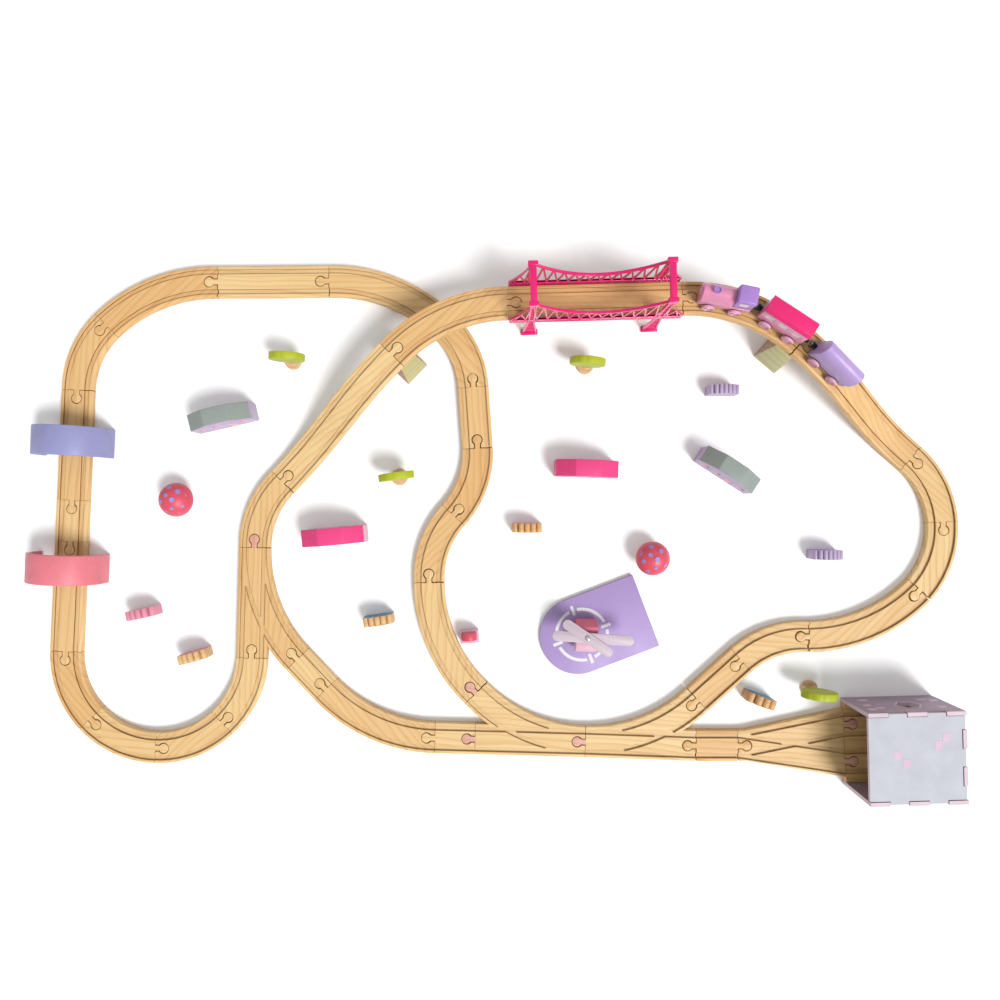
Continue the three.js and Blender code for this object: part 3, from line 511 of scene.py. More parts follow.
def wear_group() -> bpy.types.NodeTree:
    """Handling marks on a painted face: smudges, rubbed flecks and a slight brush relief."""
    group, w, given, out = new_group(
        "handled_paint",
        [("Vector", "Vector", None), ("Rub", "Float", 0.5)],
        [("Smudge", "Float"), ("Rubbed", "Float"), ("Height", "Float")],
    )
    vector = given.outputs["Vector"]
    cloud = w.add("TexNoise", Vector=vector, Scale=38.0, Detail=5.0, Roughness=0.6)
    brushed = w.add("Mapping", _0=vector, Scale=(0.12, 1.0, 1.0))
    stroke = w.add("TexNoise", Vector=brushed.outputs[0], Scale=700.0, Detail=2.0)
    peel = w.add("TexNoise", Vector=vector, Scale=900.0, Detail=1.0)
    specks = w.add("TexNoise", Vector=vector, Scale=520.0, Detail=2.0)
    patch = w.span(cloud.outputs[0], 0.5, 0.7)
    rubbed = w.maths("MULTIPLY", w.span(specks.outputs[0], 0.62, 0.7), patch)
    rubbed = w.maths("MULTIPLY", rubbed, given.outputs["Rub"])
    relief = w.maths("MULTIPLY_ADD", stroke.outputs[0], 0.6, w.maths("MULTIPLY", peel.outputs[0], 0.4))
    w.tree.links.new(w.span(cloud.outputs[0], 0.3, 0.7), out.inputs["Smudge"])
    w.tree.links.new(rubbed, out.inputs["Rubbed"])
    w.tree.links.new(relief, out.inputs["Height"])
    return group


GROUPS: dict[str, bpy.types.NodeTree] = {}


def shared(name: str, build: Callable[[], bpy.types.NodeTree]) -> bpy.types.NodeTree:
    """A node group that is built once."""
    if name not in GROUPS:
        GROUPS[name] = build()
    return GROUPS[name]


@dataclass(frozen=True)
class Finish:
    """What every finish has: a name and the record's slot."""

    name: str
    slot: str

    def material(self) -> bpy.types.Material:
        """The finish as a material, made once."""
        label = self.name + "_finish"
        found = bpy.data.materials.get(label)
        if found:
            return found
        material = bpy.data.materials.new(label)
        material.use_nodes = True
        shader = material.node_tree.nodes["Principled BSDF"]
        self.wire(Wiring(material.node_tree), shader)
        return material

    def wire(self, w: Wiring, shader: bpy.types.Node) -> None:
        """Wires the finish into its shader."""
        raise NotImplementedError


@dataclass(frozen=True)
class Timber(Finish):
    """Bare or stained wood whose grain follows the plank."""

    light: tuple
    dark: tuple
    shade: tuple
    rings: float = 120.0
    contrast: float = 1.0
    roughness: float = 0.55
    relief: float = 0.12
    tone_depth: float = 0.75
    fleck_depth: float = 0.3
    swing: float = 0.14
    pore: float = 0.0004
    shine: float = 0.4

    def wire(self, w: Wiring, shader: bpy.types.Node) -> None:
        """Wires grain, the tone of each plank and a fine relief."""
        along = w.add("Attribute", {"attribute_name": "plank"}).outputs["Vector"]
        tone = w.add("Attribute", {"attribute_name": "tone"}).outputs["Fac"]
        grain = w.add("Group", {"node_tree": shared("plank_grain", timber_group)})
        w.tree.links.new(along, grain.inputs["Vector"])
        grain.inputs["Rings"].default_value = self.rings
        figure = w.maths("MULTIPLY", grain.outputs["Figure"], self.contrast)
        wood = w.mixed(figure, self.light, self.dark)
        wood = w.mixed(w.maths("MULTIPLY", tone, self.tone_depth), wood, self.shade, "MULTIPLY")
        wood = w.mixed(w.maths("MULTIPLY", grain.outputs["Fleck"], self.fleck_depth), wood, self.dark)
        w.tree.links.new(wood, shader.inputs["Base Color"])
        rough = w.maths(
            "MULTIPLY_ADD", grain.outputs["Figure"], self.swing, self.roughness - self.swing / 2
        )
        w.tree.links.new(rough, shader.inputs["Roughness"])
        bump = w.add("Bump", Strength=self.relief, Distance=self.pore, Height=grain.outputs["Height"])
        w.tree.links.new(bump.outputs[0], shader.inputs["Normal"])
        shader.inputs["Specular IOR Level"].default_value = self.shine


@dataclass(frozen=True)
class Paint(Finish):
    """Paint over wood, or moulded plastic: smudged, rubbed in flecks and never quite even."""

    colour: tuple
    deeper: tuple
    bare: tuple = tint(236, 205, 165)
    roughness: float = 0.42
    rub: float = 0.5
    relief: float = 0.1
    coat: float = 0.0
    glow: float = 0.0
    shine: float = 0.32
    swing: float = 0.12
    stroke: float = 0.0003

    def wire(self, w: Wiring, shader: bpy.types.Node) -> None:
        """Wires the colour, the rubbed flecks and the relief."""
        along = w.add("TexCoord").outputs["Object"]
        marks = w.add("Group", {"node_tree": shared("handled_paint", wear_group)})
        w.tree.links.new(along, marks.inputs["Vector"])
        marks.inputs["Rub"].default_value = self.rub
        colour = w.mixed(marks.outputs["Smudge"], self.colour, self.deeper)
        colour = w.mixed(marks.outputs["Rubbed"], colour, self.bare)
        w.tree.links.new(colour, shader.inputs["Base Color"])
        rough = w.maths(
            "MULTIPLY_ADD", marks.outputs["Smudge"], self.swing, self.roughness - self.swing / 2
        )
        w.tree.links.new(rough, shader.inputs["Roughness"])
        bump = w.add("Bump", Strength=self.relief, Distance=self.stroke, Height=marks.outputs["Height"])
        w.tree.links.new(bump.outputs[0], shader.inputs["Normal"])
        shader.inputs["Specular IOR Level"].default_value = self.shine
        shader.inputs["Coat Weight"].default_value = self.coat
        shader.inputs["Subsurface Weight"].default_value = self.glow
        shader.inputs["Subsurface Radius"].default_value = (0.004, 0.002, 0.002)


@dataclass(frozen=True)
class Steel(Finish):
    """Turned bright steel."""

    colour: tuple
    roughness: float = 0.3

    def wire(self, w: Wiring, shader: bpy.types.Node) -> None:
        """Wires the turning marks."""
        along = w.add("TexCoord").outputs["Object"]
        fine = w.add("TexNoise", Vector=along, Scale=1600.0, Detail=2.0)
        colour = w.mixed(fine.outputs[0], self.colour, tuple(0.7 * c for c in self.colour[:3]) + (1,))
        w.tree.links.new(colour, shader.inputs["Base Color"])
        rough = w.maths("MULTIPLY_ADD", fine.outputs[0], 0.2, self.roughness - 0.1)
        w.tree.links.new(rough, shader.inputs["Roughness"])
        shader.inputs["Metallic"].default_value = 1.0


BEECH = Timber("beech", "beech", tint(252, 220, 162), tint(226, 178, 112), tint(238, 212, 186, 1.0))
# Groove walls: a darker brown, partly the cutter's burn and partly painted shade for the shadow inside the
# grooves.
BURNT_AND_SHADED_BEECH = Timber(
    "groove_wall_burn_and_shade", "beech", tint(205, 150, 96), tint(150, 96, 52), tint(220, 190, 160, 1.0)
)
PINK_PEG = Timber(
    "pink_peg", "peg_pink", tint(240, 190, 170), tint(222, 150, 130), tint(250, 230, 225, 1.0)
)
RISER_FACE = Timber(
    "riser_face", "riser_wood", tint(222, 220, 165), tint(196, 190, 132), tint(235, 225, 200, 1.0)
)
# A darker pinkish-brown copy of the riser wood for the end faces: painted shade.
RISER_SHADED_SIDE = Timber(
    "riser_shaded_side", "riser_wood", tint(205, 168, 140), tint(172, 130, 104), tint(235, 215, 200, 1.0)
)


@dataclass
class Bench:
    """Where workpieces become pieces of the set in the row frame."""

    offset: Vector = field(default_factory=Vector)
    draws: random.Random = field(default_factory=lambda: random.Random(7))
    made: list = field(default_factory=list)

    def finish(
        self,
        blank: Blank,
        name: str,
        place: Pose | Matrix,
        finishes: Sequence[Finish],
        body: str = "root",
        nodes: Iterable[str] = (),
        smooth: float = 35,
    ) -> bpy.types.Object:
        """Makes a workpiece a piece of the set.

        Args:
            blank: The workpiece, in its own plan.
            name: The piece's name.
            place: Where it goes in the set's plan.
            finishes: Its finishes, by number.
            body: The body it moves with.
            nodes: The CAD nodes it stands for.
            smooth: Edges flatter than this angle look round, in degrees.

        Returns:
            The piece.
        """
        mesh = bpy.data.meshes.new(name)
        blank.bm.to_mesh(mesh)
        blank.bm.free()
        seed = Vector([self.draws.uniform(0, 3) for _ in range(3)])
        shade = self.draws.random()
        places = [tuple(vert.co * METRE + seed) for vert in mesh.vertices]
        mesh.attributes.new("plank", "FLOAT_VECTOR", "POINT")
        mesh.attributes.new("tone", "FLOAT", "POINT")
        for i, place_in_plank in enumerate(places):
            mesh.attributes["plank"].data[i].vector = place_in_plank
            mesh.attributes["tone"].data[i].value = shade
        matrix = place.matrix() if isinstance(place, Pose) else place
        into_row = Matrix.Translation(self.offset) @ Matrix.Scale(METRE, 4)
        mesh.transform(into_row @ matrix)
        for each in finishes:
            mesh.materials.append(each.material())
        mesh.shade_smooth()
        mesh.set_sharp_from_angle(angle=math.radians(smooth))
        piece = bpy.data.objects.new(name, mesh)
        bpy.context.scene.collection.objects.link(piece)
        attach(piece, body)
        if nodes:
            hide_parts(*nodes)
        self.made.append(name)
        LOG.info("%s on %s, %d faces", name, body, len(mesh.polygons))
        return piece


# ---- Track ----------------------------------------------------------------------------------


@dataclass(frozen=True)
class Stretch:
    """One straight, or one bend if it has a radius."""

    length: float = 0.0
    radius: float = 0.0
    angle: float = 0.0

    def walked(self, pose: Pose) -> Pose:
        """The pose at its far end."""
        return pose.around(self.radius, self.angle) if self.radius else pose.forward(self.length)


@dataclass(frozen=True)
class Laid:
    """A run of track in the layout."""

    name: str
    kink: float
    run: tuple[Stretch, ...]
    start: Pose = Pose()
    end: Pose = Pose()


@dataclass
class TrackWork:
    """The sizes of the track and the ways its pieces are made."""

    width: float = 40
    thickness: float = 12
    gauge: float = 26
    groove_width: float = 6
    groove_depth: float = 3
    peg_radius: float = 6
    peg_neck: float = 6.5
    peg_reach: float = 11.5
    socket_play: float = 1.2
    socket_reach: float = 10.6
    clearance: float = 0.35
    edge: float = 0.9
    groove_edge: float = 0.5
    bend_steps: int = 20
    over: float = 1.0
    small_radius: float = 121.5
    large_radius: float = 204
    curve: float = math.radians(45)
    short: float = 54
    middle: float = 80
    long: float = 144
    deck: float = 216
    ramp: float = 216
    rise: float = 62
    ramp_blend: float = 190
    yard_length: float = 139
    yard_spacing: float = 49
    splitter_neck: float = 10

    def __post_init__(self) -> None:
        """Makes the peg and the socket cutter that every piece shares."""
        self.pegs = {End.PEG: self._peg(0), End.PINK_PEG: self._peg(2)}
        self.socket = self._socket()

    def _peg(self, finish: int) -> Blank:
        """A peg that points along +x from an end face at x = 0."""
        neck = self.peg_neck / 2
        head = Blank.rod(self.peg_radius, (0, self.thickness), 40).shifted(x=self.peg_reach)
        stem = Blank.block((-self.over, self.peg_reach), (-neck, neck), (0, self.thickness))
        made = head.joined(stem).eased(0.45, 2, 60)
        return made.painted(finish)

    def _socket(self) -> Blank:
        """The cutter of a socket behind an end face at x = 0, with a flared mouth."""
        radius = self.peg_radius + self.socket_play
        neck = self.peg_neck / 2 + self.socket_play
        low, high = -self.over, self.thickness + self.over
        flare = self.over + self.groove_edge
        hole = Blank.rod(radius, (low, high), 40).shifted(x=-self.socket_reach)
        rim = Blank.rod(radius, (high - flare, high), 40, radius + flare).shifted(x=-self.socket_reach)
        mouth = Blank.block((-self.socket_reach, self.over), (-neck, neck), (low, high))
        lip = Blank.block((-self.socket_reach, self.over), (-neck, neck), (high - flare, high))
        for vert in lip.bm.verts:
            if vert.co.z > high - flare / 2:
                vert.co.y *= (neck + flare) / neck
        return hole.joined(mouth, rim, lip)

    def section(self, grooved: bool) -> list[Point]:
        """The cross-section in y and z, from its lower right corner round to the left."""
        half, top, edge = self.width / 2, self.thickness, self.edge
        points = [(-half, edge), (-half + edge, 0), (half - edge, 0), (half, edge)]
        points += [(half, top - edge), (half - 0.35 * edge, top - 0.3 * edge), (half - edge, top)]
        for middle in (self.gauge / 2, -self.gauge / 2) if grooved else ():
            points += self.groove(middle)[::-1]
        points += [(edge - half, top), (0.35 * edge - half, top - 0.3 * edge), (-half, top - edge)]
        return points

    def groove(self, middle: float, above: float = 0.0) -> list[Point]:
        """The section of a groove with eased lips, from its right lip to its left one."""
        half, low = self.groove_width / 2, self.thickness - self.groove_depth
        lip, top = self.groove_edge, self.thickness
        right = [(middle - half - lip, top), (middle - half, top - lip), (middle - half, low)]
        left = [(middle + half, low), (middle + half, top - lip), (middle + half + lip, top)]
        if above:
            right = [(middle - half - lip - above, top + above)] + right[1:]
            left = left[:-1] + [(middle + half + lip + above, top + above)]
        return right + left

    def swept(self, section: Sequence[Point], run: Iterable[Stretch], begin: float = 0.0) -> Blank:
        """A section drawn along a run that starts at the origin along +x.

        Args:
            section: The outline in y and z.
            run: The stretches it follows.
            begin: Where on x it starts.

        Returns:
            The closed workpiece.
        """
        poses = [Pose(begin)]
        for stretch in run:
            steps = self.bend_steps if stretch.radius else max(1, int(stretch.length / 9))
            part = replace(stretch, length=stretch.length / steps, angle=stretch.angle / steps)
            for _ in range(steps):
                poses.append(part.walked(poses[-1]))
        return Blank.tube([[pose.matrix() @ Vector((0, y, z)) for y, z in section] for pose in poses])

    def plank(self, run: Sequence[Stretch], grooved: bool = True) -> Blank:
        """The body of a piece with softened end faces."""
        ends = (Pose(), self.far_end(run))

        def at_an_end(edge: bmesh.types.BMEdge) -> bool:
            """True on the rim of an end face."""
            return any(
                all(abs(self._depth(vert.co, end)) < 0.01 for vert in edge.verts) for end in ends
            )

        return self.swept(self.section(grooved), run).eased(0.3, 1, 60, at_an_end)

    @staticmethod
    def _depth(spot: Vector, pose: Pose) -> float:
        """How far a spot lies past an end face."""
        return (spot.x - pose.x) * math.cos(pose.heading) + (spot.y - pose.y) * math.sin(pose.heading)

    @staticmethod
    def far_end(run: Iterable[Stretch]) -> Pose:
        """The pose at the end of a run from the origin."""
        pose = Pose()
        for stretch in run:
            pose = stretch.walked(pose)
        return pose

    def ended(self, body: Blank, end: End, pose: Pose) -> Blank:
        """Gives an end its peg or its socket. The pose looks outwards."""
        if end is End.SOCKET:
            return body.cut(self.socket.copy().moved(pose.matrix()))
        return body.joined(self.pegs[end].copy().moved(pose.matrix()))

    def scorched_and_shaded(self, body: Blank) -> Blank:
        """Paints the groove walls darker brown: partly the cutter's burn, partly painted shade for the
        shadow inside the grooves.
        """
        low = self.thickness - self.groove_depth - 0.1

        def is_wall(face: bmesh.types.BMFace) -> bool:
            """True on an upright wall inside a groove."""
            inside = min(v.co.z for v in face.verts) > low and face.normal.z < 0.3
            return inside and max(v.co.z for v in face.verts) < self.thickness - 0.2

        return body.painted(1, is_wall)

    def piece(self, run: Sequence[Stretch], start: End, end: End) -> Blank:
        """A plain piece of track.

        Args:
            run: Its stretches.
            start: What its near end carries.
            end: What its far end carries.

        Returns:
            The workpiece.
        """
        body = self.plank(run)
        body = self.ended(body, start, Pose().backwards())
        body = self.ended(body, end, self.far_end(run))
        return self.scorched_and_shaded(body)

    def turnout(self, side: Side, common: End, legs: End) -> Blank:
        """A straight leg and a large bend that leave one common end."""
        runs = [[Stretch(self.long)], [Stretch(0, self.large_radius, side.value * self.curve)]]
        body = self.plank(runs[0], False).joined(self.plank(runs[1], False))
        for run in runs:
            longer = [Stretch(self.over), *run, Stretch(self.over)]
            for hand in Side:
                section = self.groove(hand.value * self.gauge / 2, self.over)
                body.cut(self.swept(section, longer, -self.over))
        body = self.ended(body, common, Pose().backwards())
        for run in runs:
            body = self.ended(body, legs, self.far_end(run))
        return self.scorched_and_shaded(body)

    def splitter(self) -> Blank:
        """Two straight roads that leave one socket and end in two pegs."""
        reach = self.yard_spacing / 2 + self.width / 2
        half, neck, length = self.width / 2, self.splitter_neck, self.yard_length
        outline = [(0, -half), (neck, -half), (length, -reach), (length, reach), (neck, half), (0, half)]
        body = Blank.outline(outline, Face.PLAN, 0, self.thickness).eased(self.edge, 2, 50)
        roads = [Pose(length, hand.value * self.yard_spacing / 2) for hand in Side]
        for road in roads:
            heading = math.atan2(road.y, road.x)
            run = [Stretch(math.hypot(road.x, road.y) + 2 * self.groove_width)]
            for hand in Side:
                section = self.groove(hand.value * self.gauge / 2, self.over)
                body.cut(self.swept(section, run, -self.groove_width).moved(Pose(heading=heading).matrix()))
        body = self.ended(body, End.SOCKET, Pose().backwards())
        for road in roads:
            body = self.ended(body, End.PINK_PEG, road)
        return self.scorched_and_shaded(body)

    def slope(self) -> float:
        """The angle between a ramp's two arcs, found by halving."""
        low, high = 0.0, math.atan2(2 * self.rise, self.ramp)
        for _ in range(60):
            middle = (low + high) / 2
            level = self.ramp - 2 * self.ramp_blend * math.sin(middle)
            rise = 2 * self.ramp_blend * (1 - math.cos(middle)) + level * math.tan(middle)
            low, high = (middle, high) if rise < self.rise else (low, middle)
        return low

    def bent_to_ramp(self, body: Blank) -> Blank:
        """Bends a flat straight piece to the line of a ramp that climbs along +x."""
        angle, blend = self.slope(), self.ramp_blend
        reach = blend * math.sin(angle)
        for vert in body.bm.verts:
            x, depth = vert.co.x, self.thickness - vert.co.z
            along = min(max(x, 0.0), self.ramp)
            if along < reach:
                lean = math.asin(along / blend)
                height = blend * (1 - math.cos(lean))
            elif along > self.ramp - reach:
                lean = math.asin((self.ramp - along) / blend)
                height = self.rise - blend * (1 - math.cos(lean))
            else:
                lean = angle
                height = blend * (1 - math.cos(angle)) + (along - reach) * math.tan(angle)
            vert.co.x = x + depth * math.sin(lean)
            vert.co.z = self.thickness + height - depth * math.cos(lean)
        return body.outward()

    def ramp_piece(self, peg_at_top: bool) -> Blank:
        """A ramp that climbs along +x, with a peg at one end and a socket at the other."""
        ends = (End.SOCKET, End.PEG) if peg_at_top else (End.PEG, End.SOCKET)
        return self.bent_to_ramp(self.piece([Stretch(self.ramp)], *ends))


class Layout:
    """Where every run of track lies: three chains that close a figure of loops."""

    heading = math.radians(-91.5)
    through_kink = math.radians(-0.5)
    yard_kinks = (math.radians(2), math.radians(1.5))
    raised_names = ("raised_curve_west", "bridge_deck", "raised_curve_east")

    def __init__(self, work: TrackWork) -> None:
        """Lays the inner and raised chains, and then the outer one."""
        self.work = work
        self.west_common = Pose(heading=self.heading)
        inner_start = self.bend(work.large_radius, Side.LEFT).walked(self.west_common)
        outer_start = self.west_common.forward(work.long)
        raised_start = self.west_common.backwards()
        inner, raised, outer = self.inner_chain(), self.raised_chain(), self.outer_chain()

        target = self.turnouts(self.lay(inner_start, inner)[-1].end)["yard_curve_end"]
        first, last = self.lay(inner_start, inner), self.lay(raised_start, raised)
        south, southeast = self.make_up(
            last[-1].end,
            target,
            self.straight_heading(first, "track_south_short") + math.pi,
            self.straight_heading(last, "track_southeast_bend"),
        )
        inner = self.lengthened(inner, "track_south_short", south)
        raised = self.lengthened(raised, "track_southeast_bend", southeast)
        laid = self.lay(inner_start, inner)
        self.places = self.turnouts(laid[-1].end)
        draft = self.lay(outer_start, outer)
        north, middle = self.make_up(
            draft[-1].end,
            self.places["curve_end"],
            self.straight_heading(draft, "track_north_straight"),
            self.straight_heading(draft, "track_middle_curve"),
        )
        outer = self.lengthened(outer, "track_north_straight", north)
        outer = self.lengthened(outer, "track_middle_curve", middle)
        self.pegs_first = laid + self.lay(outer_start, outer)
        self.sockets_first = self.lay(raised_start, raised)
        self.by_name = {each.name: each for each in self.pegs_first + self.sockets_first}
        road = self.places["yard_common"].forward(work.long)
        self.yard_join = self.past_joint(road, self.yard_kinks[0])
        self.yard_start = self.past_joint(self.yard_join.forward(work.short), self.yard_kinks[1])
        self.shed_front = self.yard_start.forward(work.yard_length + work.clearance)

    def bend(self, radius: float, side: Side) -> Stretch:
        """An eighth of a circle to a side."""
        return Stretch(0, radius, side.value * self.work.curve)

    def chain(self, *rows: tuple) -> list[Laid]:
        """Runs from rows of a name, a kink in degrees and stretches."""
        return [Laid(name, math.radians(kink), tuple(run)) for name, kink, *run in rows]

    def inner_chain(self) -> list[Laid]:
        """The short way along the south, between two turnouts."""
        work = self.work
        return self.chain(
            ("track_south_diagonal", 0, Stretch(work.short), self.bend(work.large_radius, Side.LEFT)),
            ("track_south_short", 0, Stretch(work.short)),
        )

    def outer_chain(self) -> list[Laid]:
        """The loop round the west, under the raised curve and down the middle."""
        work = self.work
        right, left = (self.bend(work.small_radius, side) for side in (Side.RIGHT, Side.LEFT))
        wide = self.bend(work.large_radius, Side.RIGHT)
        long, short = Stretch(work.long), Stretch(work.short)
        return self.chain(
            ("track_uturn_first", -0.5, right, right),
            ("track_uturn_second", 0, right, right),
            ("track_west_straight", -0.5, long, short, long),
            ("track_northwest_curve", 1, right, wide),
            ("track_north_straight", 2, long),
            ("track_under_bridge_curve", 1.5, wide),
            ("track_middle_curve", 2, right, Stretch(work.middle)),
            ("track_middle_bends", -1.5, right, left),
            ("track_middle_sweep", -2, self.bend(work.large_radius, Side.LEFT)),
        )

    def raised_chain(self) -> list[Laid]:
        """The way over the bridge and round the east."""
        work = self.work
        right, wide = (self.bend(r, Side.RIGHT) for r in (work.small_radius, work.large_radius))
        left = self.bend(work.small_radius, Side.LEFT)
        return self.chain(
            ("track_west_curve", 1, right),
            ("ramp_west", 1.5, Stretch(work.ramp)),
            ("raised_curve_west", 0.5, wide),
            ("bridge_deck", 0, Stretch(work.deck)),
            ("raised_curve_east", 1, wide),
            ("ramp_east", 2, Stretch(work.ramp)),
            ("track_east_bend", -0.5, right, right),
            ("track_southeast_sweep", -3.5, wide),
            ("track_southeast_bend", -3.5, left, Stretch(work.middle)),
        )

    def past_joint(self, pose: Pose, kink: float) -> Pose:
        """The pose past a joint: half its gap, its kink, and the other half."""
        half = (self.work.clearance + self.work.width / 2 * math.tan(abs(kink))) / 2
        return pose.forward(half).turned(kink).forward(half)

    def lay(self, start: Pose, chain: Iterable[Laid]) -> list[Laid]:
        """Lays a chain from a pose, run after run."""
        laid, pose = [], start
        for each in chain:
            begin = self.past_joint(pose, each.kink)
            pose = begin
            for stretch in each.run:
                pose = stretch.walked(pose)
            laid.append(replace(each, start=begin, end=pose))
        return laid

    def turnouts(self, inner_end: Pose) -> dict[str, Pose]:
        """The ends of the two turnouts in the middle of the south side."""
        work = self.work
        common = self.past_joint(inner_end, 0).forward(work.long)
        outward = self.bend(work.large_radius, Side.RIGHT).walked(common.backwards()).backwards()
        yard = self.past_joint(common, self.through_kink)
        inward = self.bend(work.large_radius, Side.LEFT).walked(yard).backwards()
        return {"common": common, "curve_end": outward, "yard_common": yard, "yard_curve_end": inward}

    @staticmethod
    def straight_heading(laid: Iterable[Laid], name: str) -> float:
        """The heading of the straight stretch of a laid run."""
        run = next(each for each in laid if each.name == name)
        pose = run.start
        for stretch in run.run:
            if stretch.length:
                return pose.heading
            pose = stretch.walked(pose)
        return pose.heading

    def make_up(self, end: Pose, target: Pose, a: float, b: float) -> tuple[float, float]:
        """How much two straights with the headings a and b grow to close a chain on its target."""
        turn = target.heading - end.heading
        reach = self.past_joint(end, math.atan2(math.sin(turn), math.cos(turn)))
        x, y, scale = target.x - reach.x, target.y - reach.y, math.sin(b - a)
        return (
            (x * math.sin(b) - y * math.cos(b)) / scale,
            (y * math.cos(a) - x * math.sin(a)) / scale,
        )

    @staticmethod
    def lengthened(chain: Iterable[Laid], name: str, growth: float) -> list[Laid]:
        """A chain whose named run has longer straights."""

        def grown(each: Laid) -> Laid:
            """The run with its straights made longer."""
            run = tuple(
                replace(part, length=part.length + growth) if part.length else part for part in each.run
            )
            return replace(each, run=run)

        return [grown(each) if each.name == name else each for each in chain]


@dataclass
class Track:
    """All the track: it dresses every real piece by itself."""

    bench: Bench
    work: TrackWork
    layout: Layout
    end_gap: float = 0.12
    finishes: tuple = (BEECH, BURNT_AND_SHADED_BEECH, PINK_PEG)

    def build(self) -> None:
        """Builds the runs, the ramps, the turnouts and the yard."""
        for laid in self.layout.pegs_first:
            self.run(laid, End.PEG, End.SOCKET)
        for laid in self.layout.sockets_first:
            if not laid.name.startswith("ramp"):
                self.run(laid, End.SOCKET, End.PEG)
        ramp_west, ramp_east = (self.layout.by_name[n] for n in ("ramp_west", "ramp_east"))
        self.add(self.work.ramp_piece(True), "ramp_west", ramp_west.start)
        self.add(self.work.ramp_piece(False), "ramp_east", ramp_east.end.backwards())
        places = self.layout.places
        west = self.work.turnout(Side.LEFT, End.PINK_PEG, End.SOCKET)
        self.add(west, "turnout_west", self.layout.west_common)
        middle = self.work.turnout(Side.RIGHT, End.SOCKET, End.PINK_PEG)
        self.add(middle, "turnout_middle", places["common"].backwards())
        yard = self.work.turnout(Side.LEFT, End.PINK_PEG, End.SOCKET)
        self.add(yard, "turnout_yard", places["yard_common"])
        short = self.work.piece([Stretch(self.work.short)], End.PEG, End.PEG)
        self.add(short, "track_yard_short", self.layout.yard_join)
        self.add(self.work.splitter(), "yard_splitter", self.layout.yard_start)

    def add(self, blank: Blank, node: str, place: Pose, name: str = "") -> None:
        """Finishes a piece of track."""
        self.bench.finish(blank, name or node + "_plank", place, self.finishes, nodes=[node])

    def run(self, laid: Laid, start: End, end: End) -> None:
        """Builds each real piece of a run, with a hairline gap at the joints inside it."""
        height = self.work.rise if laid.name in self.layout.raised_names else 0
        pose, count = laid.start.raised(height), len(laid.run)
        for i, stretch in enumerate(laid.run):
            before = self.end_gap if i else 0
            after = self.end_gap if i < count - 1 else 0
            size = stretch.length or stretch.radius * abs(stretch.angle)
            share = 1 - (before + after) / size
            trimmed = replace(stretch, length=stretch.length * share, angle=stretch.angle * share)
            lead = replace(
                stretch, length=stretch.length * before / size, angle=stretch.angle * before / size
            )
            place = lead.walked(pose) if before else pose
            blank = self.work.piece([trimmed], start, end)
            self.add(blank, laid.name, place, f"{laid.name}_{i + 1}" if count > 1 else "")
            pose = stretch.walked(pose)


# ---- Painted finishes -------------------------------------------------------------------------


def paint(name: str, colour: tuple, deep: float = 0.86, slot: str = "", **more: float) -> Paint:
    """A paint with a slightly deeper tone of its own colour in its smudges.

    Args:
        name: the finish, which is also its slot unless a slot is given.
        colour: the colour of the clean paint.
        deep: how dark the smudges are, as a share of the colour.
        slot: the record's slot where its name is another.
        more: the other values of the paint.

    Returns:
        The finish.
    """
    deeper = tuple(deep * c for c in colour[:3]) + (1.0,)
    return Paint(name, slot or name, colour, deeper, **more)


BRIDGE_PINK = paint("bridge_pink", tint(246, 30, 122), 0.9, roughness=0.28, rub=0, relief=0.04, coat=0.25)
ARCH_CORAL = paint("arch_coral", tint(246, 134, 146), roughness=0.45, rub=0.3)
ARCH_PLUM = paint("arch_plum", tint(158, 158, 208), roughness=0.45, rub=0.3)
TRAIN_PINK = paint("train_pink", tint(246, 156, 196), roughness=0.34, coat=0.2)
TRAIN_LAVENDER = paint("train_lavender", tint(184, 140, 222), roughness=0.38)
WAGON_LAVENDER = paint("wagon_lavender", tint(196, 168, 226), slot="train_lavender", roughness=0.38)
ROOF_HOT_PINK = paint("roof_hot_pink", tint(250, 46, 124), 0.9, roughness=0.34)
WHEEL_PINK = paint("wheel_pink", tint(250, 190, 214), roughness=0.3, rub=0, coat=0.3)
COUPLER_BLACK = paint("coupler_black", tint(34, 30, 32), roughness=0.35, rub=0)
MAGNET = Steel("magnet_steel", "magnet_steel", (0.62, 0.62, 0.64, 1.0))
GLASS_PRINT = paint("window_print", tint(250, 226, 236), slot="train_pink", roughness=0.4, rub=0)
PLY_FACE = paint("ply_face", tint(206, 208, 218), 0.93, slot="shed_ply", roughness=0.6, rub=0.2, relief=0.2)
PLY_WALL = paint("ply_wall", tint(184, 164, 184), 0.82, slot="shed_ply", roughness=0.6, rub=0.2, relief=0.2)
PLY_EDGE = paint("ply_edge", tint(236, 212, 222), 0.9, slot="shed_ply", roughness=0.6, rub=0, relief=0.3)
PLY_PRINT = paint("ply_print", tint(232, 200, 222), 0.94, slot="shed_ply", roughness=0.6, rub=0)
PAD_LILAC = paint("pad_lilac", tint(184, 158, 216), 0.94, roughness=0.5, rub=0.3)
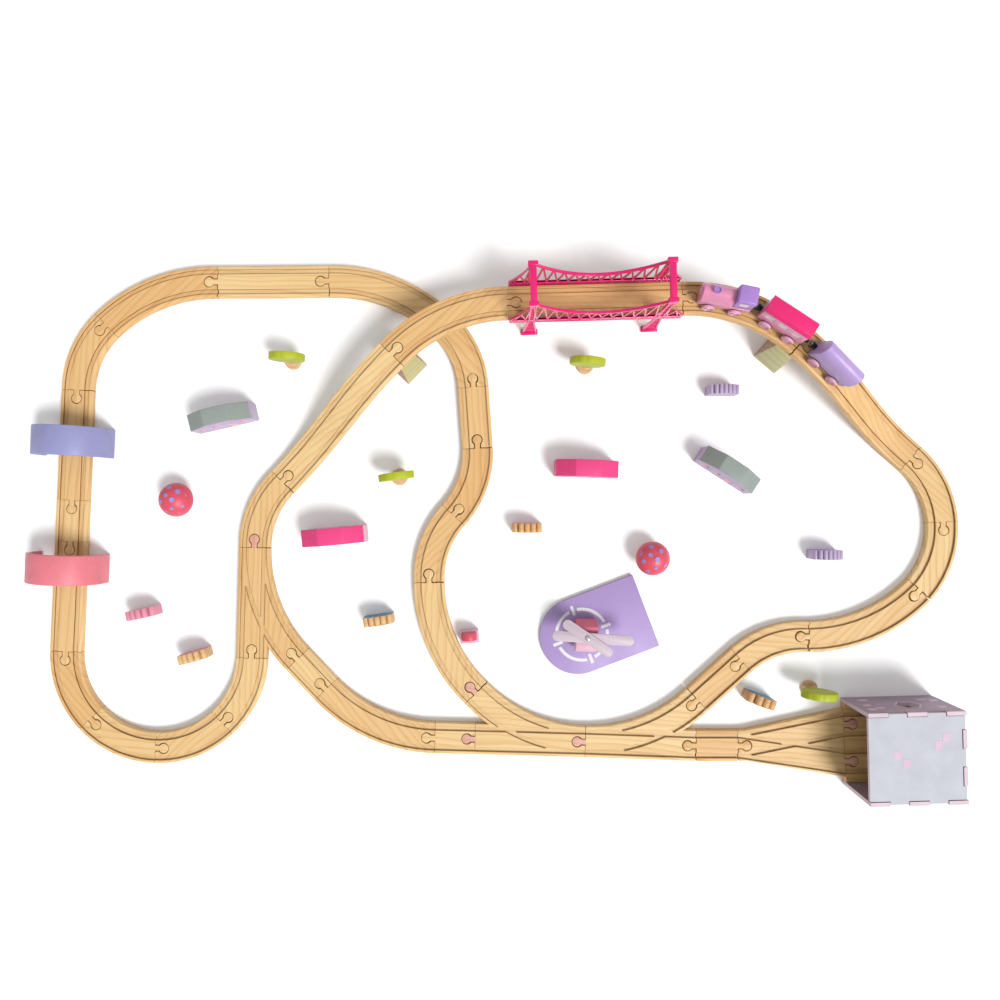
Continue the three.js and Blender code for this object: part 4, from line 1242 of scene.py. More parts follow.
# A darker, greyer lilac for the pad's side faces: painted shade along the edge.
PAD_SHADED_EDGE = paint("pad_shaded_edge", tint(176, 168, 192), 0.85, slot="pad_lilac", roughness=0.6, rub=0)
RING_WHITE = paint("ring_white", tint(250, 248, 252), 0.95, roughness=0.45, rub=0)
HELI_CORAL = paint("heli_coral", tint(238, 120, 148), roughness=0.4)
HELI_PINK = paint("heli_pink", tint(246, 196, 214), slot="heli_coral", roughness=0.4)
HUB_ORANGE = paint("hub_orange", tint(236, 150, 110), slot="heli_coral", roughness=0.45)
BLADE_WOOD = Timber(
    "blade_wood",
    "blade_wood",
    tint(222, 207, 220),
    tint(200, 184, 200),
    tint(235, 225, 220, 1.0),
    contrast=0.8
)
HOUSE_GREY = paint("house_grey", tint(156, 166, 160), 0.9, roughness=0.5)
HOUSE_LAVENDER = paint("house_lavender", tint(204, 182, 218), roughness=0.5)
HOUSE_PINK = paint("house_pink", tint(250, 74, 140), 0.92, roughness=0.45)
HOUSE_PALE = paint("house_pale", tint(250, 190, 214), slot="house_pink", roughness=0.5)
LEAF = paint("leaf_green", tint(190, 202, 44), 0.88, roughness=0.5)
TRUNK = Timber(
    "trunk_wood", "figure_tan", tint(244, 208, 168), tint(222, 172, 124), tint(240, 220, 200, 1.0)
)
TOADSTOOL_RED = paint("toadstool_red", tint(236, 88, 108), 0.9, roughness=0.42)
TOADSTOOL_DOT = paint("toadstool_dot", tint(164, 158, 222), slot="toadstool_red", roughness=0.5, rub=0)
FIGURE_TAN = Timber(
    "figure_tan", "figure_tan", tint(246, 206, 150), tint(224, 172, 112), tint(240, 220, 200, 1.0)
)
FIGURE_BLUE = paint("figure_blue", tint(96, 146, 180), slot="house_grey", roughness=0.5)
FIGURE_PINK = paint("figure_pink", tint(250, 158, 180), slot="house_pink", roughness=0.5)


# ---- Risers, bridge and arches ------------------------------------------------------------------


@dataclass
class Risers:
    """The two blocks that hold up the ends of the raised track."""

    bench: Bench
    height: float = 61.7
    top: tuple = (26, 42)
    base: tuple = (36, 58)
    shift: float = 8

    def build(self, layout: Layout) -> None:
        """Builds one behind each ramp."""
        west = layout.by_name["ramp_west"].end.forward(self.shift)
        east = layout.by_name["ramp_east"].start.forward(-self.shift)
        for node, place in (("riser_west", west), ("riser_east", east)):
            blank = Blank.block((-0.5, 0.5), (-0.5, 0.5), (0, self.height))
            for vert in blank.bm.verts:
                size = self.top if vert.co.z > self.height / 2 else self.base
                vert.co.x *= size[0]
                vert.co.y *= size[1]
            # The end faces, across x, take the darker copy of the riser wood: painted shade.
            blank.outward().eased(1.1, 3, 40).painted(1, lambda face: abs(face.normal.x) > 0.6)
            self.bench.finish(blank, node + "_block", place, (RISER_FACE, RISER_SHADED_SIDE), nodes=[node])


@dataclass
class LatticeBridge:
    """Two open side frames with towers and legs, and a portal over each pair of towers."""

    bench: Bench
    inner_width: float = 42
    reach: float = 106
    skin: float = 3.5
    rail: tuple = (68, 82)
    tower_place: float = 79
    tower_top: float = 160
    tower_length: float = 8
    sag: float = 52
    bays: int = 16
    thin: float = 2.2
    rungs: int = 9
    leg_rungs: int = 8
    foot: tuple = (20, 8, 3.5)
    cap: float = 2

    def chord(self, x: float) -> float:
        """The height of the top chord: it sags between the towers and slopes to the rail outside."""
        half, away, (_, low) = self.tower_place, abs(x), self.rail
        if away <= half:
            return self.tower_top - self.sag * (1 - (away / half) ** 2)
        past = (away - half) / (self.reach - half)
        return self.tower_top - (self.tower_top - low) * (past + 0.12 * math.sin(math.pi * past))

    def strip(self, low: Callable[[float], float], deep: float, skin: float) -> Blank:
        """A bar along the bridge whose top follows a curve."""
        count, half = 72, skin / 2
        corners = ((-half, -deep), (half, -deep), (half, 0), (-half, 0))
        xs = [self.reach * (2 * i / count - 1) for i in range(count + 1)]
        return Blank.tube([[Vector((x, y, low(x) + z)) for y, z in corners] for x in xs])

    def stick(self, start: Point, end: Point, wide: float, deep: float) -> Blank:
        """A straight bar between two points of a side frame."""
        run, rise = end[0] - start[0], end[1] - start[1]
        length = math.hypot(run, rise)
        blank = Blank.block((0, length), (-deep / 2, deep / 2), (-wide / 2, wide / 2)).eased(0.35, 1)
        turn = Matrix.Rotation(-math.atan2(rise, run), 4, "Y")
        return blank.moved(Matrix.Translation((start[0], 0, start[1])) @ turn)

    def side(self) -> Blank:
        """One side frame, its middle plane at y = 0."""
        low, high = self.rail
        frame_bars = Blank.block((-self.reach, self.reach), (-1.2, 1.2), (low, high)).eased(0.4, 1)
        for z in (low + 1.4, high - 1.4):
            flange = Blank.block(
                (-self.reach, self.reach), (-self.skin / 2, self.skin / 2), (z - 1.4, z + 1.4)
            )
            frame_bars.beside(flange.eased(0.5, 2))
        frame_bars.beside(self.strip(self.chord, 3.4, self.skin).eased(0.5, 2))
        nodes = [self.reach * (2 * i / self.bays - 1) for i in range(self.bays + 1)]
        for i, (a, b) in enumerate(zip(nodes, nodes[1:])):
            near, far = (a, self.chord(a) - 1.5), (b, self.chord(b) - 1.5)
            foot = ((a + b) / 2, high - 1)
            for end in (near, far):
                if end[1] - foot[1] > 2:
                    frame_bars.beside(self.stick(foot, end, self.thin, self.thin))
            middle = ((a + b) / 2, (low + high) / 2)
            frame_bars.beside(self.stick((a, low + 2), (b, high - 2), 1.6, 3.0))
            frame_bars.beside(self.stick((a, high - 2), (b, low + 2), 1.6, 3.0))
            boss = Blank.rod(1.9, (-1.7, 1.7), 16).rotated(90, "X").shifted(middle[0], 0, middle[1])
            frame_bars.beside(boss)
        for end in (-1, 1):
            frame_bars.beside(*self.tower(end * self.tower_place))
        return frame_bars

    def tower(self, x: float) -> list[Blank]:
        """A ladder-like tower on a leg that spreads to its foot."""
        half, low, top = self.tower_length / 2, self.rail[0], self.tower_top
        skin, (length, width, thick) = self.skin, self.foot
        bars = []
        for hand in (-1, 1):
            inner, outer = x + hand * (half - 2), x + hand * half
            span = (min(inner, outer), max(inner, outer))
            bars.append(Blank.block(span, (-skin / 2, skin / 2), (low - 6, top)).eased(0.4, 2))
            foot_x = x + hand * (length / 2 - 1.3)
            bars.append(self.stick((foot_x, thick / 2), (x + hand * (half - 1), low + 3), 2.4, skin - 0.2))
        for i in range(self.rungs + 1):
            z = self.rail[1] + (top - self.rail[1] - 2) * i / self.rungs
            bars.append(Blank.block((x - half, x + half), (-1.3, 1.3), (z - 0.9, z + 0.9)).eased(0.3, 1))
        for i in range(1, self.leg_rungs):
            z = low * i / self.leg_rungs
            reach = length / 2 - 1 + (half - length / 2) * (z / low)
            bars.append(Blank.block((x - reach, x + reach), (-1.3, 1.3), (z - 1, z + 1)).eased(0.3, 1))
        sole = (x - length / 2 - 1, x + length / 2 + 1)
        bars.append(Blank.block(sole, (-width / 2, width / 2), (0, thick)).eased(0.7, 2))
        return bars

    def portal(self, x: float) -> Blank:
        """The crossbar over a pair of towers, with a cap at each end."""
        half, top = self.inner_width / 2 + self.skin, self.tower_top
        bar = Blank.block((x - 3.8, x + 3.8), (-half, half), (top - 4, top + self.cap)).eased(0.7, 2)
        for hand in (-1, 1):
            y = hand * (half - self.skin / 2)
            cap = Blank.block((x - 5.8, x + 5.8), (y - 3, y + 3), (top - 5, top + self.cap + 0.4))
            bar.beside(cap.eased(0.9, 3))
            knee = self.stick((0, 0), (9, 9), 2.2, 3).rotated(90, "Z")
            if hand > 0:
                knee.rotated(180, "Z")
            bar.beside(knee.shifted(x, hand * (half - self.skin), top - 12))
        return bar

    def build(self, layout: Layout) -> None:
        """Builds the whole frame as one moulding."""
        place = layout.by_name["bridge_deck"].start.forward(layout.work.deck / 2)
        middle = self.inner_width / 2 + self.skin / 2
        blank = self.side().shifted(y=middle)
        blank.beside(self.side().shifted(y=-middle))
        for end in (-1, 1):
            blank.beside(self.portal(end * self.tower_place))
        self.bench.finish(blank, "bridge_lattice", place, (BRIDGE_PINK,), nodes=["bridge_frame"])


@dataclass
class Arches:
    """Two painted bands that stand over the west straight."""

    bench: Bench
    width: float = 96
    height: float = 62
    leg: float = 18
    depth: float = 38
    wall: float = 7
    steps: int = 40
    places: dict = field(default_factory=lambda: {"arch_pink": 110, "arch_lavender": 274})

    def band(self) -> Blank:
        """Straight legs under a half-ellipse, as one band."""
        half, rise, side = self.width / 2, self.height - self.leg, self.depth / 2
        outer = arc((0, self.leg), (half, rise), 0, math.pi, self.steps)
        inner = arc((0, self.leg), (half - self.wall, rise - self.wall), 0, math.pi, self.steps)
        outer = [(half, 0), *outer, (-half, 0)]
        inner = [(half - self.wall, 0), *inner, (self.wall - half, 0)]
        rings = [
            [Vector((x, *spot)) for x, spot in ((-side, far), (side, far), (side, near), (-side, near))]
            for far, near in zip(outer, inner)
        ]
        return Blank.tube(rings).eased(1.2, 3, 45)

    def build(self, layout: Layout) -> None:
        """Builds both arches."""
        start = layout.by_name["track_west_straight"].start
        for node, distance in self.places.items():
            finish = ARCH_CORAL if node == "arch_pink" else ARCH_PLUM
            self.bench.finish(self.band(), node + "_band", start.forward(distance), (finish,), nodes=[node])


# ---- Train --------------------------------------------------------------------------------------


@dataclass
class Train:
    """Three magnet-coupled vehicles on the raised curve and the top of the east ramp."""

    bench: Bench
    layout: Layout
    wheel: float = 8
    wheel_width: float = 3.4
    base: float = 33
    lift: float = 0.3
    axle: float = 2
    play: float = 1.6
    width: float = 22
    chassis: float = 19
    skirt: float = 8.5
    loco_length: float = 64
    cab_length: float = 24
    boiler: tuple = (24.5, 38)
    cab: tuple = (19.8, 48)
    coach_length: float = 62
    coach_height: float = 47
    coach_roof: float = 6
    wagon_length: float = 60
    wagon: tuple = (29.5, 44)
    coupler: tuple = (7, 5, 10.5)
    loco_travel: float = 48
    gap: float = 1.5

    def __post_init__(self) -> None:
        """Works out where the axles and the vehicles are."""
        work = self.layout.work
        self.axle_height = self.wheel + self.lift - work.groove_depth
        self.top = work.rise + work.thickness
        between = 2 * self.coupler[0] + self.gap
        self.coach_travel = self.loco_travel + self.loco_length / 2 + between + self.coach_length / 2
        self.wagon_travel = self.coach_travel + self.coach_length / 2 + between + self.wagon_length / 2

    def on_curve(self, travel: float) -> Matrix:
        """The place of a vehicle that stands on a chord of the raised curve."""
        start, radius = self.layout.by_name["raised_curve_east"].start, self.layout.work.large_radius
        centre = replace(start.sideways(-radius), heading=start.heading - travel / radius)
        chord = math.sqrt(radius**2 - (self.base / 2) ** 2)
        return centre.sideways(chord).raised(self.top).backwards().matrix()

    def on_ramp(self, travel: float) -> Matrix:
        """The place of a vehicle that stands on the arc at the top of the east ramp."""
        work, start = self.layout.work, self.layout.by_name["ramp_east"].start
        joint = work.clearance + work.width / 2 * math.tan(self.layout.by_name["ramp_east"].kink)
        lean = (travel - work.large_radius * work.curve - joint) / work.ramp_blend
        drop = math.sqrt(work.ramp_blend**2 - (self.base / 2) ** 2)
        height = self.top - work.ramp_blend + drop * math.cos(lean)
        place = start.forward(drop * math.sin(lean)).raised(height).backwards()
        return place.matrix() @ Matrix.Rotation(-lean, 4, "Y")

    def rounded(self, half: float, shoulder: float, top: float, low: float) -> list[Point]:
        """A cross-section with a rounded back."""
        back = arc((0, shoulder), (half, top - shoulder), 0, math.pi, 20)
        return [(-half, low), (half, low), *back]

    def arches_cut(self, body: Blank) -> Blank:
        """Cuts the wheel arches and the axle bores."""
        inner = self.chassis / 2
        for x in (-self.base / 2, self.base / 2):
            for hand in (-1, 1):
                span = sorted((hand * inner, hand * (self.width / 2 + 3)))
                well = Blank.rod(self.wheel + self.play, tuple(span), 40).rotated(-90, "X")
                body.cut(well.shifted(x, 0, self.axle_height))
            bore = Blank.rod(self.axle + 0.4, (-self.width, self.width), 20).rotated(90, "X")
            body.cut(bore.shifted(x, 0, self.axle_height))
        return body

    def couplers(self, body: Blank, half: float, ends: Sequence[int]) -> Blank:
        """Adds the floor block, and a coupler with its magnet at each coupled end."""
        reach, radius, height = self.coupler
        floor = Blank.block(
            (-half + 1, half - 1), (-self.chassis / 2 + 0.2, self.chassis / 2 - 0.2), (4, 17)
        )
        for x in (-self.base / 2, self.base / 2):
            bore = Blank.rod(self.axle + 0.4, (-self.width, self.width), 20).rotated(90, "X")
            floor.cut(bore.shifted(x, 0, self.axle_height))
        body.beside(floor)
        for hand in ends:
            cup = [(0, 0), (radius - 1.4, 0), (radius - 1.2, 2.5), (radius, 3.2), (radius, reach - 0.5)]
            cup += [
                (radius - 0.5, reach), (radius - 1.3, reach), (radius - 1.3, reach - 0.6), (0, reach - 0.6)
            ]
            coupler = Blank.lathe(cup, 32).painted(2)
            disc = Blank.rod(radius - 1.4, (reach - 1, reach + 0.65), 32).eased(0.2, 1).painted(3)
            coupler.beside(disc).rotated(hand * 90, "Y").shifted(hand * half, 0, height)
            body.beside(coupler)
        return body

    def windows(self, body: Blank, xs: Iterable[float], z: float, size: Point) -> Blank:
        """Sinks shallow windows in both sides."""
        for x in xs:
            for hand in (-1, 1):
                y = sorted((hand * (self.width / 2 - 0.7), hand * (self.width / 2 + 1)))
                pane = Blank.block(
                    (x - size[0] / 2, x + size[0] / 2), tuple(y), (z - size[1] / 2, z + size[1] / 2)
                )
                across = pane.eased(1.5, 3, 50, lambda e: abs((e.verts[0].co - e.verts[1].co).y) > 0.5)
                body.cut(across.painted(1))
        return body

    def vehicle(
        self, name: str, body: Blank, place: Matrix, finishes: tuple, half: float, ends: Sequence[int] = (
            -1, 1
        )
    ) -> None:
        """Finishes a vehicle's body with its couplers, and its two wheelsets."""
        whole = self.couplers(body, half, ends)
        self.bench.finish(whole, name + "_shell", place, finishes, body=name, nodes=[name + "_body"])
        for end, x in (("front", self.base / 2), ("rear", -self.base / 2)):
            wheels = self.wheelset().shifted(x, 0, self.axle_height)
            self.bench.finish(
                wheels,
                f"{name}_wheelset_{end}",
                place,
                (WHEEL_PINK, MAGNET),
                body=f"{name}_{end}_axle",
                nodes=[f"{name}_wheels_{end}"],
            )

    def wheelset(self) -> Blank:
        """Two turned wheels with ringed faces on a steel axle along y."""
        middle, half = self.layout.work.gauge / 2, self.wheel_width / 2
        tyre = self.wheel
        wheels = Blank()
        for hand in (-1, 1):
            face = [
                (0, half - 1.0),
                (1.5, half - 1.0),
                (1.6, half),
                (2.9, half),
                (3.2, half - 0.8),
                (4.6, half - 0.8),
                (4.9, half - 0.2),
                (5.6, half - 0.2),
                (5.9, half - 0.8),
                (6.5, half - 0.8),
                (6.8, half),
                (tyre - 0.5, half),
                (tyre, half - 0.5),
                (tyre, 0.5 - half),
                (tyre - 0.5, -half),
                (3.4, -half),
                (0, -half),
            ]
            wheel = Blank.lathe(face, 48).rotated(-90 * hand, "X").shifted(y=hand * middle)
            wheels.beside(wheel)
        pin = Blank.rod(1.4, (-middle - half + 0.6, middle + half - 0.6), 20).eased(0.3, 2)
        return wheels.beside(pin.painted(1).rotated(90, "X"))

    def build(self) -> None:
        """Builds the locomotive, the coach and the wagon."""
        self.locomotive(self.on_curve(self.loco_travel))
        self.coach(self.on_curve(self.coach_travel))
        self.last_wagon(self.on_ramp(self.wagon_travel))

    def locomotive(self, place: Matrix) -> None:
        """The locomotive: a rounded boiler with a chamfered nose, a funnel and a cab."""
        nose, half = self.loco_length / 2, self.width / 2
        cab_front = self.cab_length - nose
        section = self.rounded(half, self.boiler[0], self.boiler[1], self.skirt)
        body = Blank.outline(section, Face.FRONT, cab_front - 0.2, nose)
        body.eased(2.6, 3, 60, lambda e: all(v.co.x > nose - 0.01 for v in e.verts))
        low = Blank.block((-nose, cab_front + 1), (-half, half), (self.skirt, self.cab[0] - 0.3)).eased(
            0.6, 2
        )
        body = self.arches_cut(body.joined(low))
        rim = self.boiler[1] + 6
        stack = [(0, self.boiler[1] - 2), (3, self.boiler[1] - 2), (3, rim - 3), (4.6, rim), (3.4, rim)]
        stack += [(2.6, rim - 1.6), (0, rim - 1.6)]
        body.beside(Blank.lathe(stack, 32).painted(1).shifted(nose - 16))
        lamp = [(0, 0), (4.6, 0), (4.6, 0.8), (3.8, 1.4), (0, 1.6)]
        body.beside(Blank.lathe(lamp, 32).rotated(90, "Y").painted(4).shifted(nose - 0.6, 0, 25))
        finishes = (TRAIN_PINK, TRAIN_LAVENDER, COUPLER_BLACK, MAGNET, GLASS_PRINT)
        self.vehicle("loco", body, place, finishes, nose, ends=(-1,))
        cab = Blank.block((-nose, cab_front - 0.5), (-half, half), self.cab).eased(2.2, 4)
        cab = self.windows(cab, [(cab_front - nose) / 2], 37, (12, 10))
        finishes = (TRAIN_LAVENDER, GLASS_PRINT)
        self.bench.finish(cab, "loco_cab_block", place, finishes, body="loco", nodes=["loco_cab"])

    def coach(self, place: Matrix) -> None:
        """The coach: a windowed body under a flat chamfered roof."""
        half, side = self.coach_length / 2, self.width / 2
        eave = self.coach_height - self.coach_roof
        body = Blank.block((-half, half), (-side, side), (self.skirt, eave - 0.2)).eased(1.6, 3)
        body = self.windows(self.arches_cut(body), (-19, 0, 19), 30, (12, 10))
        finishes = (TRAIN_PINK, GLASS_PRINT, COUPLER_BLACK, MAGNET)
        self.vehicle("coach", body, place, finishes, half)
        low, top, over = eave, self.coach_height, side + 0.5
        outline = [
            (-over, low),
            (over, low),
            (over, low + 1.2),
            (over - 3, top),
            (3 - over, top),
            (-over, low + 1.2)
        ]
        roof = Blank.outline(outline, Face.FRONT, -half - 0.5, half + 0.5).eased(0.9, 3, 25)
        self.bench.finish(
            roof, "coach_roof_board", place, (ROOF_HOT_PINK,), body="coach", nodes=["coach_roof"]
        )

    def last_wagon(self, place: Matrix) -> None:
        """The wagon: a long body with a rounded back."""
        half, side = self.wagon_length / 2, self.width / 2
        section = self.rounded(side, self.wagon[0], self.wagon[1], self.skirt)
        body = Blank.outline(section, Face.FRONT, -half, half).eased(1.8, 3, 60)
        body = self.arches_cut(body)
        finishes = (WAGON_LAVENDER, TRAIN_LAVENDER, COUPLER_BLACK, MAGNET)
        self.vehicle("wagon", body, place, finishes, half)


# ---- Shed, pad and helicopter -------------------------------------------------------------------


@dataclass
class Shed:
    """An open-fronted shed of five boards whose tabs come up through the roof."""

    bench: Bench
    layout: Layout
    length: float = 120
    width: float = 114
    height: float = 83
    ply: float = 5
    fingers: int = 5
    gap: float = 0.3
    window: tuple = (66, 48, 15)
    roof_prints: tuple = ((0.29, 0.46), (0.38, 0.55), (0.71, 0.36), (0.79, 0.28))
    print_size: tuple = (11, 9)
    print_rise: float = 0.15
    proud: float = 1.0
    shy: float = 1.6
    notch_gap: float = 0.8

    def build(self) -> None:
        """Builds the floor, the walls, the back and the roof."""
        self.add(self.floor(), "shed_floor", (BEECH, BURNT_AND_SHADED_BEECH))
        for side, name in ((Side.LEFT, "north"), (Side.RIGHT, "south")):
            self.add(self.wall(side), "shed_wall_" + name, (PLY_WALL, PLY_EDGE, PLY_PRINT))
        self.add(self.back(), "shed_back", (PLY_WALL, PLY_EDGE, PLY_PRINT))
        self.add(self.roof(), "shed_roof", (PLY_FACE, PLY_EDGE, PLY_PRINT))

    def add(self, blank: Blank, node: str, finishes: tuple) -> None:
        """Finishes a board of the shed."""
        self.bench.finish(blank, node + "_board", self.layout.shed_front, finishes, nodes=[node])

    def finger(self, length: float, index: int) -> Point:
        """The span of one finger along an edge."""
        return (length * index / self.fingers, length * (index + 1) / self.fingers)

    def tile(self, x: float, z: float, size: Point, y: float) -> Blank:
        """A thin printed tile on a wall's outer face."""
        deep = sorted((y, y + math.copysign(self.print_rise, y)))
        made = Blank.block(
            (x - size[0] / 2, x + size[0] / 2), tuple(deep), (z - size[1] / 2, z + size[1] / 2)
        )
        return made.painted(2)

    def floor(self) -> Blank:
        """The floor, with two grooved roads that start in sockets."""
        work, half = self.layout.work, self.width / 2 - self.ply - self.gap
        length = self.length - self.ply - self.gap
        slab = Blank.block((0, length), (-half, half), (0, work.thickness)).eased(0.4, 1)
        for road in Side:
            y = road.value * work.yard_spacing / 2
            for hand in Side:
                section = work.groove(hand.value * work.gauge / 2, work.over)
                slab.cut(work.swept(section, [Stretch(length + 2)], -1).shifted(y=y))
            slab = work.ended(slab, End.SOCKET, Pose(0, y, 0, math.pi))
        return work.scorched_and_shaded(slab)

    def wall(self, side: Side) -> Blank:
        """A side wall with three tabs, a six-sided window and printed stones."""
        outer, hand = side.value * self.width / 2, side.value
        span = tuple(sorted((outer, outer - hand * self.ply)))
        top = self.height - self.ply - self.gap
        outline = [(0, 0), (self.length, 0)]
        for index in reversed(range(self.fingers)):
            low, high = self.finger(self.length, index)
            z = self.height + self.proud if index % 2 == 0 else top
            outline += [(high, z), (low, z)]
        wall = Blank.outline(outline, Face.SIDE, *span)
        x, z, radius = self.window
        pane = Blank.rod(radius, (-9, 9), 6).rotated(30, "Z").rotated(90, "X").shifted(x, outer, z)
        wall.cut(pane)
        wall.painted(1, lambda face: abs(face.normal.y) < 0.5)
        rim = Blank.rod(radius + 2.4, (-0.3, 0.3), 6).cut(Blank.rod(radius, (-2, 2), 6))
        wall.beside(rim.rotated(30, "Z").rotated(90, "X").shifted(x, outer, z).painted(2))
        for i, (u, v) in enumerate(((14, 64), (27, 58), (16, 44), (96, 22), (108, 29), (102, 62), (22, 18))):
            size = (self.print_size[0] - i % 3, self.print_size[1] - 2 * (i % 2))
            wall.beside(self.tile(u, v, size, outer))
        return wall

    def back(self) -> Blank:
        """The back wall with two tabs."""
        half = self.width / 2 - self.ply - self.gap
        top = self.height - self.ply - self.gap
        outline = [(-half, 0), (half, 0), (half, top)]
        for index in (3, 1):
            low, high = (edge - self.width / 2 for edge in self.finger(self.width, index))
            tab = self.height + self.proud
            outline += [(high, top), (high, tab), (low, tab), (low, top)]
        outline.append((-half, top))
        wall = Blank.outline(outline, Face.FRONT, self.length - self.ply, self.length)
        wall.painted(1, lambda face: abs(face.normal.x) < 0.5)
        for u, v in ((-30, 56), (-18, 49), (24, 30), (35, 38), (2, 20)):
            size = self.print_size
            spot = Blank.block(
                (self.length, self.length + self.print_rise), (u, u + size[0]), (v, v + size[1])
            )
            wall.beside(spot.painted(2))
        return wall

    def roof(self) -> Blank:
        """The roof board, notched for the tabs, with printed tiles."""
        half, gap, deep = self.width / 2, self.notch_gap, self.ply + self.notch_gap
        low, edge, back = self.height - self.ply, half - self.shy, self.length - self.shy
        right: list[Point] = []
        for index in range(self.fingers):
            a, b = self.finger(self.length, index)
            if index % 2:
                right += [(a + gap, -edge), (b - gap, -edge)]
            else:
                right += [(a - gap if index else a, half - deep), (min(b + gap, back), half - deep)]
                right[-2:] = [(x, -y) for x, y in right[-2:]]
        left = [(x, -y) for x, y in reversed(right)]
        rear: list[Point] = []
        for index in (1, 3):
            a, b = (spot - half for spot in self.finger(self.width, index))
            inner = self.length - deep
            rear += [(back, a - gap), (inner, a - gap), (inner, b + gap), (back, b + gap)]
        roof = Blank.outline(right + rear + left, Face.PLAN, low, self.height)
        roof.painted(1, lambda face: abs(face.normal.z) < 0.5)
        for u, v in self.roof_prints:
            x, y = u * self.length, half - v * self.width
            size = (self.print_size[1] / 2, self.print_size[0] / 2)
            spot = Blank.block(
                (x - size[0], x + size[0]),
                (y - size[1], y + size[1]),
                (self.height, self.height + self.print_rise)
            )
            roof.beside(spot.painted(2))
        return roof


@dataclass
class Helipad:
    """The pad, and the helicopter that stands on it with two free blades."""

    bench: Bench
    layout: Layout
    width: float = 100
    square_reach: float = 86
    round_shift: float = 10
    thickness: float = 6
    ring: tuple = (31.5, 35.5)
    tick: tuple = (13, 4)
    heading: float = 20.8
    heli: tuple = (28, 42, 30)
    side_height: float = 17
    nose: float = 8
    tail: float = 4
    shoulder: float = 8
    gap: float = 0.3
    hub: tuple = (5, 4)
    blade: tuple = (2, 13)
    long_blade: tuple = (104, 7)
    short_blade: float = 74
    headings: tuple = (-2, -4, -34)
    screw: tuple = (1.5, 3.4, 1.6)

    def build(self) -> None:
        """Builds the pad, the helicopter and its blades."""
        common = self.layout.places["common"]
        centre = Pose(common.x, common.y + 141)
        self.bench.finish(
            self.plate(),
            "pad_board",
            replace(centre, heading=math.radians(self.heading)),
            (PAD_LILAC, PAD_SHADED_EDGE, RING_WHITE),
            nodes=["pad_plate"],
        )
        cabin, long, short = (replace(centre, heading=math.radians(h)) for h in self.headings)
        finishes = (HELI_CORAL, HELI_PINK, HUB_ORANGE, MAGNET)
        self.bench.finish(self.cabin(), "heli_cabin", cabin, finishes, nodes=["heli_body"])
        top = self.thickness + self.gap + self.heli[2] + self.hub[1]
        step = self.blade[0] + self.gap
        rows = (
            (self.long_blade[0], self.long_blade[1], 0, long, "long"),
            (self.short_blade, 0, 1, short, "short"),
        )
        for length, shift, level, place, name in rows:
            blade = self.blade_board(length, shift, top + self.gap + level * step)
            node = "rotor_blade_" + name
            self.bench.finish(
                blade, node + "_board", place, (BLADE_WOOD,), body="rotor_" + name, nodes=[node]
            )

    def plate(self) -> Blank:
        """The board, round at one end, with its ring and ticks."""
        half = self.width / 2
        outline = [(self.square_reach, -half), (self.square_reach, half)]
        outline += arc((-self.round_shift, 0), (half, half), QUARTER, 3 * QUARTER, 48)
        board = Blank.outline(outline, Face.PLAN, 0, self.thickness).eased(0.8, 2, 60)
        # The side and under faces take the darker lilac: painted shade.
        board.painted(1, lambda face: face.normal.z < 0.6)
        low, high = self.thickness - 0.5, self.thickness + 0.12
        inner, outer = self.ring
        middle = (-4, 0)
        for quarter in range(4):
            turn = quarter * QUARTER
            start, end = turn + 0.16, turn + QUARTER - 0.16
            band = arc(middle, (outer, outer), start, end, 20) + arc(middle, (inner, inner), end, start, 20)
            board.beside(Blank.outline(band, Face.PLAN, low, high).painted(2))
            reach = (inner + outer) / 2
            half_tick = self.tick[0] / 2
            tick = Blank.block(
                (reach - half_tick, reach + half_tick), (-self.tick[1] / 2, self.tick[1] / 2), (low, high)
            )
            board.beside(tick.rotated(90 * quarter, "Z").shifted(*middle).painted(2))
        return board

    def cabin(self) -> Blank:
        """The cabin of two glued blocks, with its hub and a cross-head screw."""
        width, length, height = self.heli
        half, low = length / 2, self.thickness + self.gap
        top = low + height
        profile = [
            (-half, low + self.nose),
            (-half + self.nose, low),
            (half - self.tail, low),
            (half, low + self.tail),
            (half, low + self.side_height),
            (half - self.shoulder, top),
            (-half + self.shoulder, top),
            (-half, low + self.side_height),
        ]
        seam = 1.0
        blocks = []
        for hand in (-1, 1):
            block = Blank.outline(profile, Face.FRONT, -width / 2, width / 2)
            geometry = [*block.bm.verts, *block.bm.edges, *block.bm.faces]
            bmesh.ops.bisect_plane(
                block.bm,
                geom=geometry,
                plane_co=(0, seam + 0.15 * hand, 0),
                plane_no=(0, hand, 0),
                clear_inner=True,
            )
            rim = [edge for edge in block.bm.edges if edge.is_boundary]
            bmesh.ops.contextual_create(block.bm, geom=rim)
            block.outward().eased(1.3, 3, 20).painted(0 if hand > 0 else 1)
            blocks.append(block)
        body = blocks[0].beside(blocks[1])
        radius, rise = self.hub
        hub_top = top + rise
        hub = [(0, top - 1), (radius + 0.8, top - 1), (radius + 0.8, top + 0.8), (radius, top + 1.6)]
        hub += [(radius, hub_top - 0.5), (radius - 0.5, hub_top), (0, hub_top)]
        body.beside(Blank.lathe(hub, 36).painted(2))
        stem, head, cheese = self.screw
        base = hub_top + 2 * (self.blade[0] + self.gap) + self.gap
        screw = [(0, hub_top - 1), (stem, hub_top - 1), (stem, base), (head, base), (head, base + 0.7)]
        screw += [(head - 0.5, base + 1.2), (head - 1.3, base + cheese), (0, base + cheese)]
        bolt = Blank.lathe(screw, 36)
        for across in ((2.1, 0.45), (0.45, 2.1)):
            slot = Blank.block((-across[0], across[0]), (-across[1], across[1]), (base + 0.6, base + 3))
            bolt.cut(slot)
        return body.beside(bolt.painted(3))

